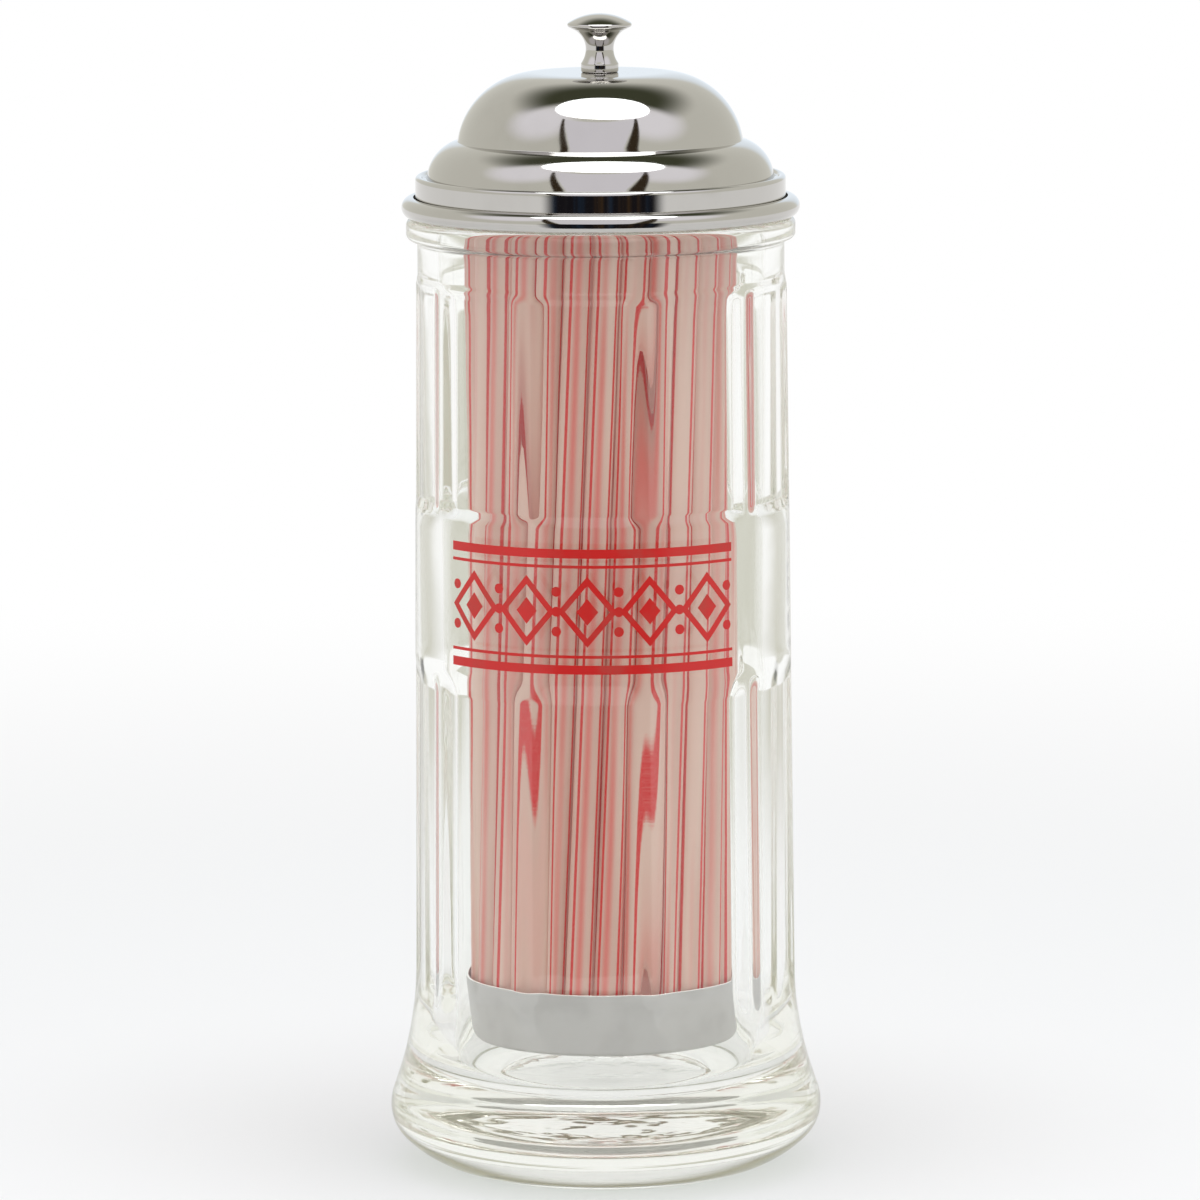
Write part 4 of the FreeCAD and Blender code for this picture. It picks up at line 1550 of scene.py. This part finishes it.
@dataclass
class Studio:
    """Floor, surrounding light, one overhead soft box, reflection cards and the camera."""

    floor_half: float = 6.0
    floor_colour: Colour = (0.80, 0.80, 0.80, 1.0)
    floor_tint: Colour = (0.788, 0.788, 0.788, 1.0)
    floor_glow: float = 0.06
    floor_fade: Span = (0.22, 0.9)  # metres, where the floor turns into plain white
    ambient: float = 0.80
    under_jar: Span = (0.036, 0.050)  # metres, edge of the painted pool of light under the foot, standing in for the light it gathers
    gathered_light: float = 0.8
    flag_colour: Colour = (0.56, 0.55, 0.46, 1.0)
    flag_sides: Span = (0.11, 0.36)  # metres to each side of the camera's aim
    flag_blur: Span = (0.10, 0.30)  # metres over which each side fades
    flag_start: Span = (0.10, 0.50)  # metres behind the object, where they fade in
    aim_slope: float = 0.082  # how far the aim runs to the left per metre
    mirrored: Colour = (0.81, 0.805, 0.74, 1.0)  # in reflections
    mirrored_back: Colour = (0.95, 1.03, 1.11, 1.0)
    mirrored_top: Colour = (0.07, 0.075, 0.045, 1.0)
    mirrored_side: Colour = (1.14, 1.12, 1.20, 1.0)
    back_way: Triple = (0.0, 0.996, 0.087)
    top_way: Triple = (0.03, 0.1, 0.995)
    side_way: Triple = (0.6, -0.3, 0.742)  # and its mirror image
    back_edge: Span = (0.93, 0.985)  # cosine off that way at which its colour begins, and is whole
    top_edge: Span = (0.66, 0.92)
    side_edge: Span = (0.86, 0.99)
    behind_edge: Span = (-0.08, 0.12)  # how far behind a way points, for the dark top
    box_size: Span = (1.05, 0.74)
    box_place: Triple = (0.06, -0.21, 1.27)
    box_power: float = 7.0
    box_colour: Triple = (0.93, 0.97, 1.0)
    camera_place: Triple = (0.1475, -1.7939, 0.406)
    camera_aim: Triple = (-0.0007, -0.00006, 0.1338)
    camera_lens: float = 233.0
    camera_roll: float = -0.35
    glass_bounces: int = 64
    matt_bounces: int = 6
    clear_bounces: int = 16
    cards: tuple[Card, ...] = (
        Card("low_dark_card", 0.32, (-31, 44), (-31, 44), (0.002, 0.272),
             (0.012, 0.011, 0.014, 1.0), soft_ends=0.13, streaks=0.55),
        Card("far_panel", 2.0, (-18, 21), (-40, 48), (0.52, 3.3), (0.98, 0.96, 1.04, 1.0)),
        Card("panel_edge_left", 1.95, (-27, -18), (-44, -40), (0.52, 3.3), (0.05, 0.035, 0.02, 1.0),
             soft_ends=0.2),
        Card("panel_edge_right", 1.95, (21, 35), (48, 52), (0.52, 3.3), (0.05, 0.035, 0.02, 1.0),
             soft_ends=0.2))

    @staticmethod
    def seen_rays(tree: Tree) -> tuple[Socket, Socket]:
        """Which rays look at the surroundings rather than gather light from them.

        Args:
            tree: The tree to work in.

        Returns:
            One for camera and transmission rays, and one for glossy rays.
        """
        path = tree.add("ShaderNodeLightPath")
        direct = tree.maths("MAXIMUM", path.outputs["Is Camera Ray"],
                            path.outputs["Is Transmission Ray"])
        return direct, path.outputs["Is Glossy Ray"]

    def flags(self, tree: Tree, place: Socket) -> Socket:
        """Two soft olive strips on the floor behind the object, which draw the glass's edges.

        A strip lies where |x + slope * y| is between its sides, so straight rays pass between them.

        Args:
            tree: The floor's tree.
            place: Object coordinates.

        Returns:
            The mask, from 0 to 1.
        """
        parts = tree.parts(place)
        off_aim = tree.maths("MULTIPLY_ADD", parts["Y"], self.aim_slope, parts["X"])
        side = tree.maths("ABSOLUTE", off_aim)
        (near, far), (near_blur, far_blur) = self.flag_sides, self.flag_blur
        strip = tree.product(tree.ramp(side, near, near + near_blur),
                             tree.ramp(side, far, far + far_blur, 1.0, 0.0))
        return tree.product(strip, tree.ramp(parts["Y"], *self.flag_start))

    def lay_floor(self) -> None:
        """Makes the floor, white to the eye and pale to the light, so that shadows stay."""
        made, tree = new_material("studio_floor")
        direct, glossy = self.seen_rays(tree)
        seen = tree.maths("MAXIMUM", direct, glossy)
        place = tree.place()
        matt = tree.add("ShaderNodeBsdfDiffuse", {
            "Color": tree.blend(tree.noise(place, 3.0), self.floor_colour, self.floor_tint)})
        glow = tree.add("ShaderNodeEmission", {"Color": WHITE,
                                               "Strength": tree.product(seen, self.floor_glow)})
        near = tree.add("ShaderNodeAddShader", {0: matt.outputs[0], 1: glow.outputs[0]})
        off = tree.length(place)
        far = tree.product(tree.ramp(off, *self.floor_fade), seen)
        through = tree.add("ShaderNodeLightPath").outputs["Is Transmission Ray"]
        # a painted pool of light on the floor under the foot, seen only through the glass
        gathered = tree.product(tree.ramp(off, *self.under_jar, self.gathered_light, 0.0), through)
        flags = tree.product(self.flags(tree, place), through)
        fade = tree.maths("MAXIMUM", tree.maths("MAXIMUM", far, gathered), flags)
        white = tree.add("ShaderNodeEmission", {
            "Color": tree.blend(flags, WHITE, self.flag_colour), "Strength": 1.0})
        faded = tree.add("ShaderNodeMixShader", {0: fade, 1: near.outputs[0], 2: white.outputs[0]})
        tree.add("ShaderNodeOutputMaterial", {"Surface": faded.outputs[0]})
        edge = np.array([-self.floor_half, self.floor_half]) / METRES
        across, along = np.meshgrid(edge, edge)
        points = np.stack([across, along, 0 * across], -1).reshape(-1, 3)
        faces, places = grid_faces(2, 2, wrap_rows=False, wrap_columns=False)
        floor = make_object("studio_floor", points, faces.tolist(), places)
        dress(floor, made)

    def light(self) -> None:
        """Makes the surroundings and the soft box."""
        world = bpy.data.worlds.new("studio_surroundings")
        world.use_nodes = True
        bpy.context.scene.world = world
        tree = Tree(world.node_tree)
        direct, glossy = self.seen_rays(tree)
        way = tree.add("ShaderNodeTexCoord").outputs["Generated"]
        left_side = (-self.side_way[0],) + self.side_way[1:]
        back, top, right, left = [
            tree.add("ShaderNodeVectorMath", {0: way, 1: aim},
                     operation="DOT_PRODUCT").outputs["Value"]
            for aim in (self.back_way, self.top_way, self.side_way, left_side)]
        lit = tree.blend(tree.ramp(back, *self.back_edge), self.mirrored, self.mirrored_back)
        sides = tree.ramp(tree.maths("MAXIMUM", right, left), *self.side_edge)
        lit = tree.blend(sides, lit, self.mirrored_side)
        behind = tree.ramp(tree.parts(way)["Y"], *self.behind_edge)
        dark = tree.product(tree.ramp(top, *self.top_edge), behind)
        reflected = tree.blend(dark, lit, self.mirrored_top)
        around = tree.blend(glossy, (self.ambient, self.ambient, self.ambient, 1.0), reflected)
        shown = tree.blend(direct, around, WHITE)
        sky = tree.add("ShaderNodeBackground", {"Color": shown, "Strength": 1.0})
        tree.add("ShaderNodeOutputWorld", {"Surface": sky.outputs[0]})
        lamp = bpy.data.lights.new("soft_box", "AREA")
        lamp.shape = "ELLIPSE"
        lamp.size, lamp.size_y = self.box_size
        lamp.energy = self.box_power
        lamp.color = self.box_colour
        box = bpy.data.objects.new("soft_box", lamp)
        box.location = self.box_place
        bpy.context.scene.collection.objects.link(box)

    def set_camera(self) -> None:
        """Places the camera, level but for a slight roll, and aims it."""
        lens = bpy.data.cameras.new("camera")
        lens.lens = self.camera_lens
        lens.sensor_width = 36.0
        camera = bpy.data.objects.new("camera", lens)
        place, aim = Vector(self.camera_place), Vector(self.camera_aim)
        facing = (aim - place).to_track_quat("-Z", "Y").to_matrix().to_4x4()
        roll = Matrix.Rotation(math.radians(self.camera_roll), 4, "Z")
        camera.matrix_world = Matrix.Translation(place) @ facing @ roll
        bpy.context.scene.collection.objects.link(camera)
        bpy.context.scene.camera = camera

    def build(self) -> None:
        """Sets up the whole studio."""
        self.lay_floor()
        self.light()
        for card in self.cards:
            card.build()
        self.set_camera()
        bpy.context.scene.view_settings.view_transform = "Standard"
        paths = bpy.context.scene.cycles
        paths.max_bounces = paths.transmission_bounces = paths.glossy_bounces = self.glass_bounces
        paths.diffuse_bounces, paths.transparent_max_bounces = self.matt_bounces, self.clear_bounces


def main() -> None:
    """Builds the dispenser and its studio."""
    logging.basicConfig(level=logging.INFO, format="%(name)s: %(message)s")
    marks, grain = handling_marks(), lathe_grain()
    plate = BrightPlate().material(marks, grain)
    satin = SatinSteel("satin_cup_steel", colour=(0.56, 0.548, 0.535, 1.0), roughness=0.34,
                       grain_depth=0.0000015, polish_and_highlight_from=0.0459).material(marks, grain)
    plain = SatinSteel("plain_fitting_steel", colour=(0.50, 0.50, 0.49, 1.0), roughness=0.26,
                       grain_depth=0.000003).material(marks, grain)
    straw_plastic = StripedStraw().material()
    jar = GlassJar()
    jar.build(PressedGlass().material(marks))
    PrintedBand(jar).build(FiredEnamel().material(marks))
    Lid().build(plate)
    Knob().build(plate)
    Cup().build(satin)
    StrawBundle().build(straw_plastic)
    Fittings().dress(plain)
    Studio().build()


if __name__ == "__main__":
    main()
